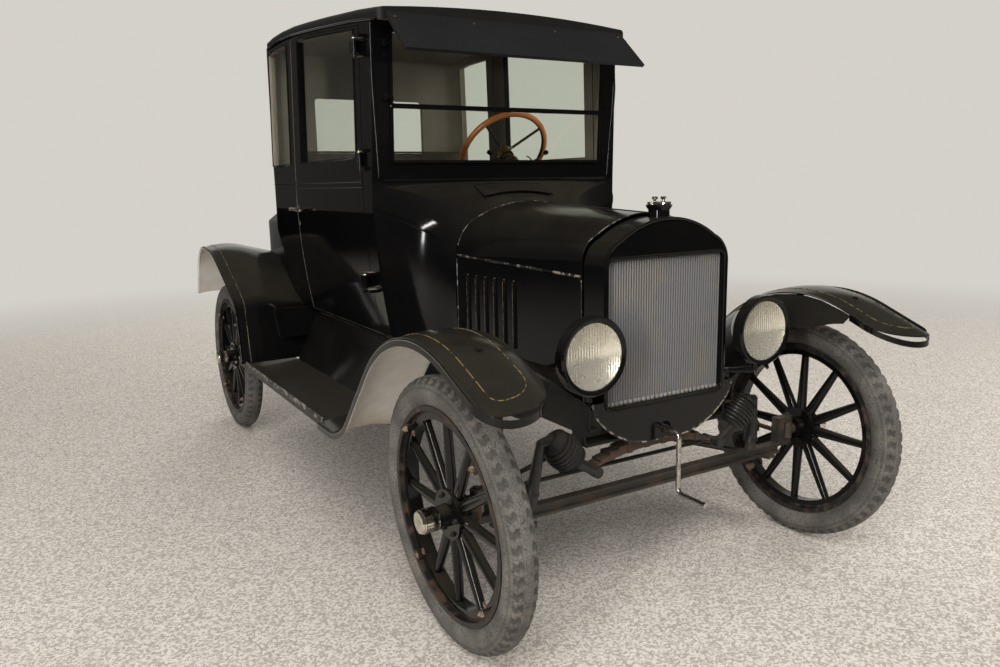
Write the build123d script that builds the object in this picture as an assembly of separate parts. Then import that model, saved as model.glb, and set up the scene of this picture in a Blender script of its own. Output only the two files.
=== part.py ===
from build123d import *
import os
from math import asin, atan2, cos, degrees, radians, sin, sqrt, tan

# A closed two-door car of the middle 1920s. Millimetres, +Z up, +X to the car's left,
# the front faces -Y, and the origin is on the ground under the middle of the wheelbase.

# Main sizes
BODY_HALF = 548.0
WHEELBASE = 2540.0
TRACK = 1422.0

# Wheels and tyres
TYRE_RADIUS = 387.5
TYRE_WIDTH = 86.0
TREAD_WIDTH = 60.0
TREAD_CROWN = 9.5
BEAD_WIDTH = 58.0
RIM_RADIUS = 296.0
RIM_FLANGE = 11.0
RIM_STEEL = 4.0
FELLOE_DEPTH = 26.0
FELLOE_WIDTH = 38.0
SPOKES = 12
SPOKE_HUB_WIDTH = 19.0
SPOKE_HUB_DEPTH = 15.0
SPOKE_RIM_RADIUS = 12.5
HUB_FLANGE_RADIUS = 72.0
HUB_FLANGE = 6.0
HUB_RADIUS = 30.0
HUB_INNER = 46.0
HUB_CAP_RADIUS = 33.0
HUB_CAP_REACH = 108.0
RIM_LUGS = 4
DRUM_RADIUS = 140.0
DRUM_DEPTH = 50.0
CAMBER = 2.5

# Front axle and steering
KINGPIN_X = 641.0
KINGPIN_RADIUS = 8.0
KNUCKLE_RADIUS = 17.0
KNUCKLE_HEIGHT = 60.0
SPINDLE_RADIUS = 12.0
BEAM_Z = 333.0
BEAM_HEIGHT = 38.0
BEAM_WIDTH = 30.0
BEAM_WEB = 10.0
BEAM_FLANGE = 8.0
ARM_LENGTH = 145.0
ARM_RADIUS = 8.0
ARM_Z = 372.0
EYE_RADIUS = 15.0
TIE_RADIUS = 7.0
TIE_PIN_RADIUS = 6.0
TIE_Z = 355.0
DRAG_RADIUS = 8.0
DRAG_START_X = -560.0
RADIUS_ROD_RADIUS = 10.0
RADIUS_ROD_X = 560.0
RADIUS_ROD_Z = 300.0
RADIUS_BALL = (0.0, -330.0, 356.0)
BALL_RADIUS = 24.0

# Steering column
STEER_HUB = (BODY_HALF - 248.0, 105.0, 1418.0)
STEER_FOOT = (234.0, -1017.0, 560.0)
STEER_WHEEL_RADIUS = 216.0
STEER_RIM_RADIUS = 13.0
COLUMN_RADIUS = 18.0
PITMAN_LENGTH = 145.0
PITMAN_PIN_RADIUS = 6.0
PITMAN_SLACK = 8.5

# Springs and shock absorbers
SPRING_WIDTH = 45.0
LEAF = 7.0
FRONT_SPRING_HALF = 252.0
FRONT_SPRING_LEAVES = 6
FRONT_SPRING_DROP = 34.0
REAR_SPRING_HALF = 520.0
REAR_SPRING_LEAVES = 6
REAR_SPRING_DROP = 150.0
REAR_PERCH_X = 560.0
SHOCK_X = 455.0
COIL_LOW = (329.0, -1290.0, 472.0)
COIL_HIGH = (389.0, -1290.0, 536.0)
COIL_RADII = (48.0, 53.0, 55.5, 56.0, 54.0, 49.5, 43.0)
COIL_WIRE = 5.7

# Rear axle and torque tube
REAR_SHAFT_RADIUS = 15.0
TORQUE_BALL_Y = 40.0
TORQUE_BALL_Z = 452.0

# Frame
RAIL_HALF = 292.0
RAIL_HEIGHT = 76.0
RAIL_FLANGE = 34.0
RAIL_STEEL = 5.0
RAIL_TOP = 636.0
RAIL_REAR = 1240.0
CROSS_WIDTH = 60.0
CROSS_STEEL = 8.0
FRONT_CROSS_Z = 500.0
REAR_ARCH_TOP = 688.0
ENGINE_Z = 520.0
BELL_RADIUS = 160.0

# Radiator
RADIATOR_FRONT = -1335.0
RADIATOR_REAR = -1240.0
CORE_HALF = 228.0
CORE_BOTTOM = 616.0
CORE_TOP = 1054.0
CORE_CORNER = 20.0
CORE_DEPTH = 62.0
SHELL_HALF = 244.0
SHELL_TOP = 1172.0
APRON_HALF = 282.0
APRON_BOTTOM = 496.0
SHEET = 3.0
NECK_RADIUS = 32.0
CAP_TOP = 1232.0

# An arch over the radiator or hood: the corner's share of the half-width and its drop from
# the top, the same for a point on the shoulder's bend, and the drop where the side begins
FRONT_ARCH = (0.775, 60.0, 0.926, 87.0, 133.0)
REAR_ARCH = (0.809, 69.0, 0.942, 120.0, 185.0)

# Hood
HOOD_FRONT = -1236.0
HOOD_REAR = -560.0
HOOD_FRONT_HALF = 248.0
HOOD_REAR_HALF = 309.0
HOOD_FRONT_SHOULDER = 1002.0
HOOD_REAR_SHOULDER = 1027.0
HOOD_FRONT_TOP = 1182.0
HOOD_REAR_TOP = 1212.0
HOOD_BOTTOM = 702.0
HOOD_SHEET = 3.0
HINGE_ROD = 4.0
HOOD_GAP = 5.0
LOUVERS = 6
LOUVER_PITCH = 54.0
LOUVER_RADIUS = 9.0
LOUVER_BOTTOM = 742.0
LOUVER_TOP = 955.0

# Body
BODY_WALL = 28.0
CORNER_CREASE = 1.5
BODY_BOTTOM = 695.0
BELT_Z = 1290.0
COWL_REAR = -380.0
SCREEN_LEAN = 0.055
CAB_REAR = 985.0
ROOF_EDGE_HALF = BODY_HALF - 19.0
ROOF_CROWN = 34.0
ROOF_SLAB = 30.0
ROOF_LIP = 12.0
ROOF_FRONT = -470.0
HEAD_CHORDS = 4
DOOR_FRONT = -290.0
DOOR_REAR = 545.0
DOOR_BOTTOM = 712.0
DOOR_GAP = 5.0
DOOR_HEAD = 12.0
WINDOW_SILL = 1385.0
WINDOW_HEAD = 32.0
DOOR_WINDOW_FRONT = -225.0
DOOR_WINDOW_REAR = 440.0
QUARTER_FRONT = 612.0
QUARTER_REAR = 900.0
REAR_WINDOW_HALF = 300.0
REAR_WINDOW_SILL = 1420.0
REAR_WINDOW_HEAD = 1720.0
SCREEN_HALF = 470.0
SCREEN_SILL = 1360.0
SCREEN_SPLIT = 1557.0
SCREEN_HEAD = 1812.0
GLASS = 5.0
SEAT_GAP = 0.3
FLOOR_BOARD = 20.0
SEAT_HALF = 430.0
COWL_WALL = 16.0
DOOR_HINGE_X = BODY_HALF + 12.0
DOOR_HINGE_Y = -300.0
HINGE_RADIUS = 8.0
HINGE_LENGTH = 50.0
DOOR_HINGES = (923.0, 1372.0, 1768.0)
HANDLE_Y = 512.0
HANDLE_Z = 1181.0
HANDLE_REACH = 95.0

# The roof's side edge: y, z
ROOF_LINE = (
    (-560.0, 1852.0),
    (-400.0, 1875.0),
    (-250.0, 1894.0),
    (-100.0, 1909.0),
    (100.0, 1929.0),
    (300.0, 1947.0),
    (500.0, 1963.0),
    (680.0, 1970.0),
    (820.0, 1969.0),
    (920.0, 1960.0),
    (1040.0, 1936.0),
)

# Visor: its fixed edge's heights, and its free edge's places and height
VISOR_HALF = 508.0
VISOR_SEAT = (1848.0, 1862.0)
VISOR_TIP = (-614.0, -624.0)
VISOR_DROP = 1722.0

# Rear deck
DECK_HALF = 485.0
DECK_REAR = 1497.0
DECK_BOTTOM = 772.0
DECK_TOP = 1180.0
LID_FRONT = 1030.0
LID_REAR = 1400.0
LID_HALF = 330.0
LID_HINGES = (-230.0, 230.0)
LID_KNUCKLE = 40.0
LID_STRAP = 34.0
LID_PIN_LIFT = 9.0
DECK_TAIL = 1075.0
DECK_WALL = 14.0

# Fenders and running boards
FENDER_OUTER = 835.0
FENDER_INNER = 626.0
FENDER_FALL = 40.0
FENDER_LIP = 18.0
FENDER_CROWN = 16.0
FENDER_NOSE = -1686.0
NOSE_ROUNDS = (0.37, 0.64)
FENDER_SHEET = 3.0
FENDER_BEAD = 6.0
BOARD_TOP = 463.0
BOARD_THICK = 22.0
BOARD_INNER = 566.0
BOARD_OUTER = 812.0
BOARD_FRONT = -480.0
BOARD_REAR = 770.0

APRON_BENDS = 6
APRON_DROP = 1.2

# How far the apron reaches from the fender towards the frame: y, share of the way
APRON_REACH = ((-1510.0, 0.1), (-1400.0, 0.34), (RADIATOR_FRONT - 5.0, 0.4), (RADIATOR_FRONT + 11.0, 1.0))

# Lamps
LAMP_X = 337.0
LAMP_Y = -1408.0
LAMP_Z = 804.0
LAMP_RADIUS = 112.0
LAMP_DEPTH = 120.0
LENS_RADIUS = 96.0

# Starting crank
CRANK_Z = 524.0
CRANK_RADIUS = 8.0
CRANK_ARM = 196.0
CRANK_FACE = -1395.0
CRANK_HANDLE = 118.0

FRONT_Y = -WHEELBASE / 2
REAR_Y = WHEELBASE / 2
WHEEL_X = TRACK / 2
CROWN_RADIUS = ((TREAD_WIDTH / 2) ** 2 + TREAD_CROWN**2) / (2 * TREAD_CROWN)
FRONT_HUB_Z = (TYRE_RADIUS - CROWN_RADIUS) * cos(radians(CAMBER)) + CROWN_RADIUS
REAR_HUB_Z = TYRE_RADIUS


# Helpers
def between(table, place):
    """A value read by straight lines from a table of (place, value)."""
    for (a, low), (b, high) in zip(table, table[1:]):
        if place <= b:
            return low + (high - low) * (place - a) / (b - a)
    return table[-1][1]


def polygon(*points):
    return make_face(Polyline(*points, close=True))


def rounded(points, radii):
    return make_face(FilletPolyline(*points, radius=radii, close=True))


def side_prism(face, x0, x1):
    """Extrudes a face drawn as (y, z) from x0 to x1."""
    return Pos(x0, 0, 0) * extrude(Plane.YZ * face, amount=x1 - x0)


def front_prism(face, y0, y1):
    """Extrudes a face drawn as (x, z) from y0 to y1."""
    return Pos(0, y1, 0) * extrude(Plane.XZ * face, amount=y1 - y0)


def plan_prism(face, z0, z1):
    """Extrudes a face drawn as (x, y) from z0 to z1."""
    return Pos(0, 0, z0) * extrude(face, amount=z1 - z0)


def block(x0, x1, y0, y1, z0, z1):
    return Pos((x0 + x1) / 2, (y0 + y1) / 2, (z0 + z1) / 2) * Box(x1 - x0, y1 - y0, z1 - z0)


def rod(start, end, radius):
    start, end = Vector(*start), Vector(*end)
    axis = end - start
    return Solid.make_cylinder(radius, axis.length, Plane(origin=start, z_dir=axis))


def taper(start, end, r0, r1):
    start, end = Vector(*start), Vector(*end)
    axis = end - start
    return Solid.make_cone(r0, r1, axis.length, Plane(origin=start, z_dir=axis))


def bent_rod(points, radius, bend):
    path = FilletPolyline(*points, radius=bend)
    section = Plane(origin=path @ 0, z_dir=path % 0) * Circle(radius)
    return sweep(section, path=path)


def mirrored(shape):
    return mirror(shape, about=Plane.YZ)


def pair(shape):
    return shape, mirrored(shape)


# Wheels, built about the X axis with the outer face towards +X
def tyre():
    half, bead = TREAD_WIDTH / 2, BEAD_WIDTH / 2
    low, edge = RIM_RADIUS + RIM_FLANGE + 1, TYRE_RADIUS - TREAD_CROWN
    middle = (low + edge) / 2
    outline = Curve() + [
        Line((-bead, RIM_RADIUS), (bead, RIM_RADIUS)),
        Line((bead, RIM_RADIUS), (bead, low)),
        ThreePointArc((bead, low), (TYRE_WIDTH / 2, middle), (half, edge)),
        ThreePointArc((half, edge), (0, TYRE_RADIUS), (-half, edge)),
        ThreePointArc((-half, edge), (-TYRE_WIDTH / 2, middle), (-bead, low)),
        Line((-bead, low), (-bead, RIM_RADIUS)),
    ]
    return revolve(make_face(outline), Axis.X)


def ring(x0, x1, inner, outer):
    return revolve(polygon((x0, inner), (x1, inner), (x1, outer), (x0, outer)), Axis.X)


def spoke(angle):
    root = Plane(origin=(0, 0, HUB_FLANGE_RADIUS - 8), z_dir=(0, 0, 1), x_dir=(1, 0, 0))
    tip = root.offset(RIM_RADIUS - RIM_STEEL - FELLOE_DEPTH - HUB_FLANGE_RADIUS + 10)
    body = loft([root * Ellipse(SPOKE_HUB_DEPTH, SPOKE_HUB_WIDTH), tip * Circle(SPOKE_RIM_RADIUS)])
    return Rot(angle, 0, 0) * body


def wheel(bore, drum):
    seat = RIM_RADIUS - SEAT_GAP
    felloe = seat - RIM_STEEL
    bead = BEAD_WIDTH / 2 + SEAT_GAP
    half = FELLOE_WIDTH / 2
    shape = ring(-bead - RIM_STEEL, bead + RIM_STEEL, felloe, seat)
    for side in (-1, 1):
        x0, x1 = sorted((side * bead, side * (bead + RIM_STEEL)))
        shape += ring(x0, x1, felloe, RIM_RADIUS + RIM_FLANGE)
    shape += ring(-half, half, felloe - FELLOE_DEPTH, felloe + 1)
    shape += ring(-SPOKE_HUB_DEPTH, SPOKE_HUB_DEPTH, bore, HUB_FLANGE_RADIUS)
    for side in (-1, 1):
        x0, x1 = sorted((side * SPOKE_HUB_DEPTH, side * (SPOKE_HUB_DEPTH + HUB_FLANGE)))
        shape += ring(x0, x1, bore, HUB_FLANGE_RADIUS)
    for i in range(SPOKES):
        shape += spoke(i * 360 / SPOKES)
    cap = polygon(
        (-HUB_INNER, bore),
        (HUB_CAP_REACH - 16, bore),
        (HUB_CAP_REACH - 12, 0),
        (HUB_CAP_REACH, 0),
        (HUB_CAP_REACH, HUB_CAP_RADIUS - 5),
        (HUB_CAP_REACH - 5, HUB_CAP_RADIUS),
        (HUB_CAP_REACH - 52, HUB_CAP_RADIUS),
        (HUB_CAP_REACH - 54, HUB_RADIUS),
        (-HUB_INNER, HUB_RADIUS + 8),
    )
    shape += revolve(cap, Axis.X)
    for i in range(RIM_LUGS):
        lug = block(half - 4, half + 16, -14, 14, felloe - 18, felloe + 2.5)
        shape += Rot(45 + i * 360 / RIM_LUGS, 0, 0) * lug
    if drum:
        back = -SPOKE_HUB_DEPTH - HUB_FLANGE
        shape += ring(back - 5, back, bore, DRUM_RADIUS)
        shape += ring(back - DRUM_DEPTH, back, DRUM_RADIUS - 6, DRUM_RADIUS)
    return shape


# Where each wheel stands: camber tips the top of a front wheel outwards
def wheel_place(side, front):
    flip = Location((0, 0, 0)) if side > 0 else Rot(0, 0, 180)
    tilt = Rot(0, CAMBER * side, 0) if front else Location((0, 0, 0))
    y, z = (FRONT_Y, FRONT_HUB_Z) if front else (REAR_Y, REAR_HUB_Z)
    return Pos(side * WHEEL_X, y, z) * tilt * flip


def spindle_line(x):
    """A point of the left front spindle's axis at the given x."""
    return (x, FRONT_Y, FRONT_HUB_Z - (x - WHEEL_X) * tan(radians(CAMBER)))


KINGPIN_Z = spindle_line(KINGPIN_X)[2]


# Front axle, left half first
def front_axle():
    top, low = BEAM_Z + BEAM_HEIGHT / 2, BEAM_Z - BEAM_HEIGHT / 2
    yoke = KINGPIN_X - 50
    half, web = BEAM_WIDTH / 2, BEAM_WEB / 2
    shape = block(-yoke, yoke, FRONT_Y - web, FRONT_Y + web, low, top)
    shape += block(-yoke, yoke, FRONT_Y - half, FRONT_Y + half, top - BEAM_FLANGE, top)
    shape += block(-yoke, yoke, FRONT_Y - half, FRONT_Y + half, low, low + BEAM_FLANGE)
    reach = KNUCKLE_HEIGHT / 2 + 1
    fork_low, fork_high = KINGPIN_Z - reach - 20, KINGPIN_Z + reach + 20
    for side in (-1, 1):
        pin = (side * KINGPIN_X, FRONT_Y)
        shape += rod((*pin, fork_low - 8), (*pin, fork_high + 8), KINGPIN_RADIUS)
        for z0, z1 in ((fork_low, fork_low + 20), (fork_high - 20, fork_high)):
            shape += rod((*pin, z0), (*pin, z1), KNUCKLE_RADIUS)
            x0, x1 = sorted((side * (yoke - 14), side * KINGPIN_X))
            shape += block(x0, x1, FRONT_Y - half, FRONT_Y + half, z0, z1)
        x0, x1 = sorted((side * (yoke - 14), side * (yoke + 16)))
        shape += block(x0, x1, FRONT_Y - half, FRONT_Y + half, fork_low, fork_high)
        start = (side * RADIUS_ROD_X, FRONT_Y, RADIUS_ROD_Z)
        shape += rod(start, RADIUS_BALL, RADIUS_ROD_RADIUS)
        shape += rod(start, (side * RADIUS_ROD_X, FRONT_Y, low + 2), RADIUS_ROD_RADIUS + 5)
        shape += rod((side * SHOCK_X, FRONT_Y, top - 1), (side * SHOCK_X, FRONT_Y, top + 30), 18)
    shape += Pos(*RADIUS_BALL) * Sphere(BALL_RADIUS)
    return shape


def knuckle():
    """The left knuckle, with its spindle and steering arm."""
    pin = (KINGPIN_X, FRONT_Y)
    low, high = KINGPIN_Z - KNUCKLE_HEIGHT / 2, KINGPIN_Z + KNUCKLE_HEIGHT / 2
    eye = (KINGPIN_X, FRONT_Y + ARM_LENGTH)
    hub_face = WHEEL_X - HUB_INNER * cos(radians(CAMBER))
    shape = rod((*pin, low), (*pin, high), KNUCKLE_RADIUS)
    shape += rod(spindle_line(KINGPIN_X), spindle_line(WHEEL_X + 82), SPINDLE_RADIUS)
    shape += rod(spindle_line(KINGPIN_X), spindle_line(hub_face - 1), SPINDLE_RADIUS + 7)
    shape += rod((*pin, ARM_Z), (*eye, ARM_Z), ARM_RADIUS)
    shape += rod((*eye, ARM_Z - 9), (*eye, ARM_Z + 9), EYE_RADIUS)
    shape -= rod((*pin, low - 1), (*pin, high + 1), KINGPIN_RADIUS + 0.3)
    shape -= rod((*eye, ARM_Z - 12), (*eye, ARM_Z + 12), TIE_PIN_RADIUS + 0.5)
    return shape


def along(start, end, share):
    return tuple(a + (b - a) * share for a, b in zip(start, end))


COLUMN_AXIS = (Vector(*STEER_HUB) - Vector(*STEER_FOOT)).normalized()
PITMAN_DIRECTION = Vector(0, COLUMN_AXIS.Z, -COLUMN_AXIS.Y).normalized()
PITMAN_END = Vector(*STEER_FOOT) + PITMAN_DIRECTION * PITMAN_LENGTH


def tie_rod():
    """The tie rod, with the drag link that leads to the pitman arm."""
    y = FRONT_Y + ARM_LENGTH
    low, high = TIE_Z - TIE_RADIUS - 1, TIE_Z + TIE_RADIUS - 1
    shape = rod((-KINGPIN_X, y, TIE_Z), (KINGPIN_X, y, TIE_Z), TIE_RADIUS)
    for side in (-1, 1):
        x = side * KINGPIN_X
        shape += rod((x, y, low), (x, y, high), EYE_RADIUS)
        shape += rod((x, y, low + 1), (x, y, ARM_Z + 14), TIE_PIN_RADIUS)
        shape += rod((x, y, ARM_Z + 10), (x, y, ARM_Z + 16), TIE_PIN_RADIUS + 4)
    inner = PITMAN_PIN_RADIUS + PITMAN_SLACK
    start = Vector(DRAG_START_X, y, TIE_Z)
    reach = PITMAN_END - start
    end = PITMAN_END - reach.normalized() * (inner + 2)
    shape += rod(start, end, DRAG_RADIUS)
    eye = Plane(origin=PITMAN_END - COLUMN_AXIS * 6, z_dir=COLUMN_AXIS)
    ring_solid = Solid.make_cylinder(inner + 6, 12, eye)
    hole = Solid.make_cylinder(inner, 16, eye.offset(-2))
    return shape - hole + (ring_solid - hole)


def pitman_arm():
    foot = Vector(*STEER_FOOT)
    shape = Solid.make_cylinder(16, 14, Plane(origin=foot - COLUMN_AXIS * 40, z_dir=COLUMN_AXIS))
    hub = foot - COLUMN_AXIS * 34
    end = PITMAN_END - COLUMN_AXIS * 34
    shape = shape + rod(hub, end, 8)
    return shape + rod(end, PITMAN_END + COLUMN_AXIS * 24, PITMAN_PIN_RADIUS)


# Springs
def leaf_spring(y, z_centre, half, drop, leaves, perch):
    """Leaves stacked upwards from the longest, arched in the plane across the car."""
    radius = (half**2 + drop**2) / (2 * drop)
    z0 = z_centre - radius
    shape = None
    for i in range(leaves):
        reach = half * (1 - i * 0.85 / leaves)
        low, high = radius + i * LEAF, radius + (i + 1) * LEAF
        a = asin(reach / radius)
        low_x, low_z = low * sin(a), z0 + low * cos(a)
        high_x, high_z = high * sin(a), z0 + high * cos(a)
        face = make_face(
            Curve()
            + [
                ThreePointArc((-low_x, low_z), (0, z0 + low), (low_x, low_z)),
                Line((low_x, low_z), (high_x, high_z)),
                ThreePointArc((high_x, high_z), (0, z0 + high), (-high_x, high_z)),
                Line((-high_x, high_z), (-low_x, low_z)),
            ]
        )
        leaf = front_prism(face, y - SPRING_WIDTH / 2, y + SPRING_WIDTH / 2)
        shape = leaf if shape is None else shape + leaf
    for side in (-1, 1):
        eye = (side * half, z_centre - drop)
        shape += rod((eye[0], y - SPRING_WIDTH / 2, eye[1]), (eye[0], y + SPRING_WIDTH / 2, eye[1]), 14)
        if perch[0] > half:
            shape += rod((eye[0], y, eye[1]), (side * perch[0], y, perch[1]), 9)
    return shape


def front_spring():
    half, drop = FRONT_SPRING_HALF, FRONT_SPRING_DROP
    eye = (half, FRONT_SPRING_Z - drop)
    return leaf_spring(FRONT_Y, FRONT_SPRING_Z, half, drop, FRONT_SPRING_LEAVES, eye)


def rear_spring():
    perch = (REAR_PERCH_X, REAR_HUB_Z + 61.2)
    return leaf_spring(REAR_Y, REAR_SPRING_Z, REAR_SPRING_HALF, REAR_SPRING_DROP, REAR_SPRING_LEAVES, perch)


RAIL_FRONT = RADIATOR_FRONT + SHEET + SEAT_GAP
FRONT_SPRING_Z = FRONT_CROSS_Z - FRONT_SPRING_LEAVES * LEAF
REAR_SPRING_Z = REAR_ARCH_TOP - 3 * CROSS_STEEL - REAR_SPRING_LEAVES * LEAF
SHOCK_BASE_Z = BEAM_Z + BEAM_HEIGHT / 2 + 30


def coil(length):
    """The coil with its lower cup and upper cap, turned about its own axis from the lower end."""
    pitch = length / len(COIL_RADII)
    slack = pitch / 2 - COIL_WIRE
    end = (0, -14)
    pieces = []
    for corner in ((COIL_RADII[0] - 12, -14), (COIL_RADII[0] + 3, -2)):
        pieces.append(Line(end, corner))
        end = corner
    for i, radius in enumerate(COIL_RADII):
        low, middle, high = i * pitch + slack, (i + 0.5) * pitch, (i + 1) * pitch - slack
        ring = radius - COIL_WIRE
        pieces.append(Line(end, (ring, low)))
        pieces.append(ThreePointArc((ring, low), (radius, middle), (ring, high)))
        end = (ring, high)
    for corner in ((COIL_RADII[-1] + 2, length + 2), (22, length + 18), (0, length + 18), (0, -14)):
        pieces.append(Line(end, corner))
        end = corner
    return revolve(Plane.XZ * make_face(Curve() + pieces), Axis.Z)


def shock():
    """The left shock absorber: its coil between two cups, and the arm up from the axle's perch."""
    low, high = Vector(*COIL_LOW), Vector(*COIL_HIGH)
    axis = (high - low).normalized()
    shape = Plane(origin=low, z_dir=axis).location * coil((high - low).length)
    foot = Vector(SHOCK_X, FRONT_Y, SHOCK_BASE_Z)
    cap = high + axis * 10
    elbow = cap + Vector(40, -2, -4)
    shape += taper(foot, foot + Vector(0, 0, 36), 24, 19)
    shape += taper(foot + Vector(0, -4, 16), elbow, 19, 14)
    shape += taper(elbow, cap, 14, 18)
    shape += Pos(*elbow) * Sphere(14.4)
    return shape + spring_link()


def spring_link():
    """The casting from the coil's lower cup to the front of the spring's eye."""
    low = Vector(*COIL_LOW)
    face = FRONT_Y - SPRING_WIDTH / 2 - SEAT_GAP
    eye = Vector(FRONT_SPRING_HALF, face, FRONT_SPRING_Z - FRONT_SPRING_DROP)
    shape = rod(eye + Vector(0, -34, 0), eye, 17)
    return shape + taper(eye + Vector(0, -19, 0), Vector(low.X - 4, face - 19, low.Z - 2), 15, 17)


# Frame
def channel(side):
    """One rail's section as (x, z), open towards the middle of the car."""
    outer, inner = side * RAIL_HALF, side * (RAIL_HALF - RAIL_FLANGE)
    web = side * (RAIL_HALF - RAIL_STEEL)
    low, high = RAIL_TOP - RAIL_HEIGHT, RAIL_TOP
    return polygon(
        (outer, low),
        (outer, high),
        (inner, high),
        (inner, high - RAIL_STEEL),
        (web, high - RAIL_STEEL),
        (web, low + RAIL_STEEL),
        (inner, low + RAIL_STEEL),
        (inner, low),
    )


def board_iron(side, y):
    """A forged iron that carries one running board from the rail's lower flange."""
    z = BOARD_TOP - BOARD_THICK - 8
    low = RAIL_TOP - RAIL_HEIGHT - 6
    points = [
        (side * (RAIL_HALF - 17), y, low),
        (side * (RAIL_HALF + 30), y, low),
        (side * (BOARD_INNER - 20), y, z),
        (side * (BOARD_OUTER - 20), y, z),
    ]
    return bent_rod(points, 8, 30)


def arch_member(outline, thickness, y):
    """A pressed cross member across the frame, from its right half's upper edge as (x, z)."""
    t = thickness
    left = [(-x, z) for x, z in reversed(outline)]
    inner = [(x - t if x > 0 else x + t, z - t) for x, z in left + outline]
    low = min(z for _, z in outline)
    inner[0], inner[-1] = (inner[0][0], low), (inner[-1][0], low)
    face = polygon(*left, *outline, *reversed(inner))
    return front_prism(face, y - CROSS_WIDTH / 2, y + CROSS_WIDTH / 2)


def chassis_frame():
    shape = None
    for side in (-1, 1):
        rail = front_prism(channel(side), RAIL_FRONT, RAIL_REAR)
        shape = rail if shape is None else shape + rail
    low = RAIL_TOP - RAIL_HEIGHT
    inner = RAIL_HALF - RAIL_STEEL + 1
    t, z = CROSS_STEEL, FRONT_CROSS_Z
    half = CROSS_WIDTH / 2
    drop = polygon(
        (-inner, low + 6), (-inner, z + 2 * t), (t - inner, z), (inner - t, z), (inner, z + 2 * t),
        (inner, low + 6), (inner - t, low + 6), (inner - t, z + 2.5 * t), (inner - 2 * t, z + t),
        (2 * t - inner, z + t), (t - inner, z + 2.5 * t), (t - inner, low + 6),
    )
    shape += front_prism(drop, FRONT_Y - half, FRONT_Y + half)
    shape += block(-inner, inner, 60, 60 + CROSS_WIDTH, low, low + 2 * RAIL_STEEL)
    top = REAR_ARCH_TOP
    outline = [(170, top), (RAIL_HALF, RAIL_TOP + 4), (RAIL_HALF, RAIL_TOP - 24)]
    shape += arch_member(outline, CROSS_STEEL, REAR_Y)
    shape += block(-45, 45, REAR_Y - 20, REAR_Y + 20, top - 3 * t, top - t + 1)
    for side in (-1, 1):
        x0, x1 = sorted((side * (RAIL_HALF - t), side * RAIL_HALF))
        shape += block(x0, x1, RAIL_REAR - 30, REAR_Y, RAIL_TOP - 24, RAIL_TOP)
        for y in (-330.0, 520.0):
            shape += board_iron(side, y)
    return shape


# Rear axle, with its torque tube and radius rods
def rear_axle():
    z = REAR_HUB_Z
    plate_x = WHEEL_X - SPOKE_HUB_DEPTH - HUB_FLANGE - DRUM_DEPTH - 6
    housing = make_face(
        Curve()
        + [
            Line((-plate_x, 0), (plate_x, 0)),
            Line((plate_x, 0), (plate_x, 32)),
            Line((plate_x, 32), (112, 62)),
            ThreePointArc((112, 62), (0, 125), (-112, 62)),
            Line((-112, 62), (-plate_x, 32)),
            Line((-plate_x, 32), (-plate_x, 0)),
        ]
    )
    shape = Pos(0, REAR_Y, z) * revolve(housing, Axis.X)
    ball = Vector(0, TORQUE_BALL_Y, TORQUE_BALL_Z)
    shape += taper(Vector(0, REAR_Y, z), ball, 70, 34)
    shape += Pos(*ball) * Sphere(50)
    for side in (-1, 1):
        plate = (side * plate_x, REAR_Y, z)
        shape += rod(plate, (side * (plate_x - 8), REAR_Y, z), DRUM_RADIUS - 8)
        inner, outer = side * (plate_x - 20), side * (WHEEL_X + 60)
        shape += rod((inner, REAR_Y, z), (outer, REAR_Y, z), REAR_SHAFT_RADIUS)
        shape += rod((side * (plate_x - 4), REAR_Y, z - 70), ball, 9)
        perch = (side * REAR_PERCH_X, REAR_Y)
        shape += rod((*perch, z), (*perch, z + 53), 16)
    return shape


# Engine as one plain block, with its pan
def engine():
    z = ENGINE_Z
    shape = block(-105, 105, -1150, -640, z + 30, 930)
    shape += block(-130, 130, -1180, -600, 455, z + 50)
    bell = revolve(polygon((0, 0), (0, 100), (140, BELL_RADIUS), (152, BELL_RADIUS), (152, 0)), Axis.X)
    shape += Pos(0, -700, z) * Rot(0, 0, 90) * bell
    shape += taper((0, -556, z - 10), (0, TORQUE_BALL_Y - 62, z - 50), BELL_RADIUS - 30, 56)
    arm = RAIL_HALF - RAIL_STEEL - SEAT_GAP
    low = RAIL_TOP - RAIL_HEIGHT + RAIL_STEEL + SEAT_GAP
    shape += block(-arm, arm, -596, -566, low, low + 18)
    x, y, ball = RADIUS_BALL
    shape += rod((x, y, ball + BALL_RADIUS + SEAT_GAP), (x, y, z - 60), 20)
    shape += rod((0, -1228, CRANK_Z), (0, -1178, CRANK_Z), CRANK_RADIUS + 10)
    return shape - rod((0, -1230, CRANK_Z), (0, -1170, CRANK_Z), CRANK_RADIUS + 0.1)


def exhaust():
    x, muffler_y = -205, 620
    points = [(-105.3, -760, 700), (x, -760, 700), (x, -655, 420), (x, 100, 440), (-215, muffler_y + 5, 455)]
    pipe = bent_rod(points, 19, 30)
    muffler = rod((-215, muffler_y, 455), (-215, muffler_y + 380, 455), 58)
    tail = rod((-215, muffler_y + 370, 455), (-215, muffler_y + 500, 455), 14)
    return pipe + muffler + tail


# Radiator
def arch_face(half, top, form, bottom):
    """The section of a radiator or hood as (x, z), with one of the forms of arch."""
    corner_share, corner_drop, bend_share, bend_drop, side_drop = form
    corner = (half * corner_share, top - corner_drop)
    bend = (half * bend_share, top - bend_drop)
    side = top - side_drop
    outline = Curve() + [
        ThreePointArc((-half, side), (-bend[0], bend[1]), (-corner[0], corner[1])),
        ThreePointArc((-corner[0], corner[1]), (0, top), corner),
        ThreePointArc(corner, bend, (half, side)),
        Line((half, side), (half, bottom)),
        Line((half, bottom), (-half, bottom)),
        Line((-half, bottom), (-half, side)),
    ]
    return make_face(outline)


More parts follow.
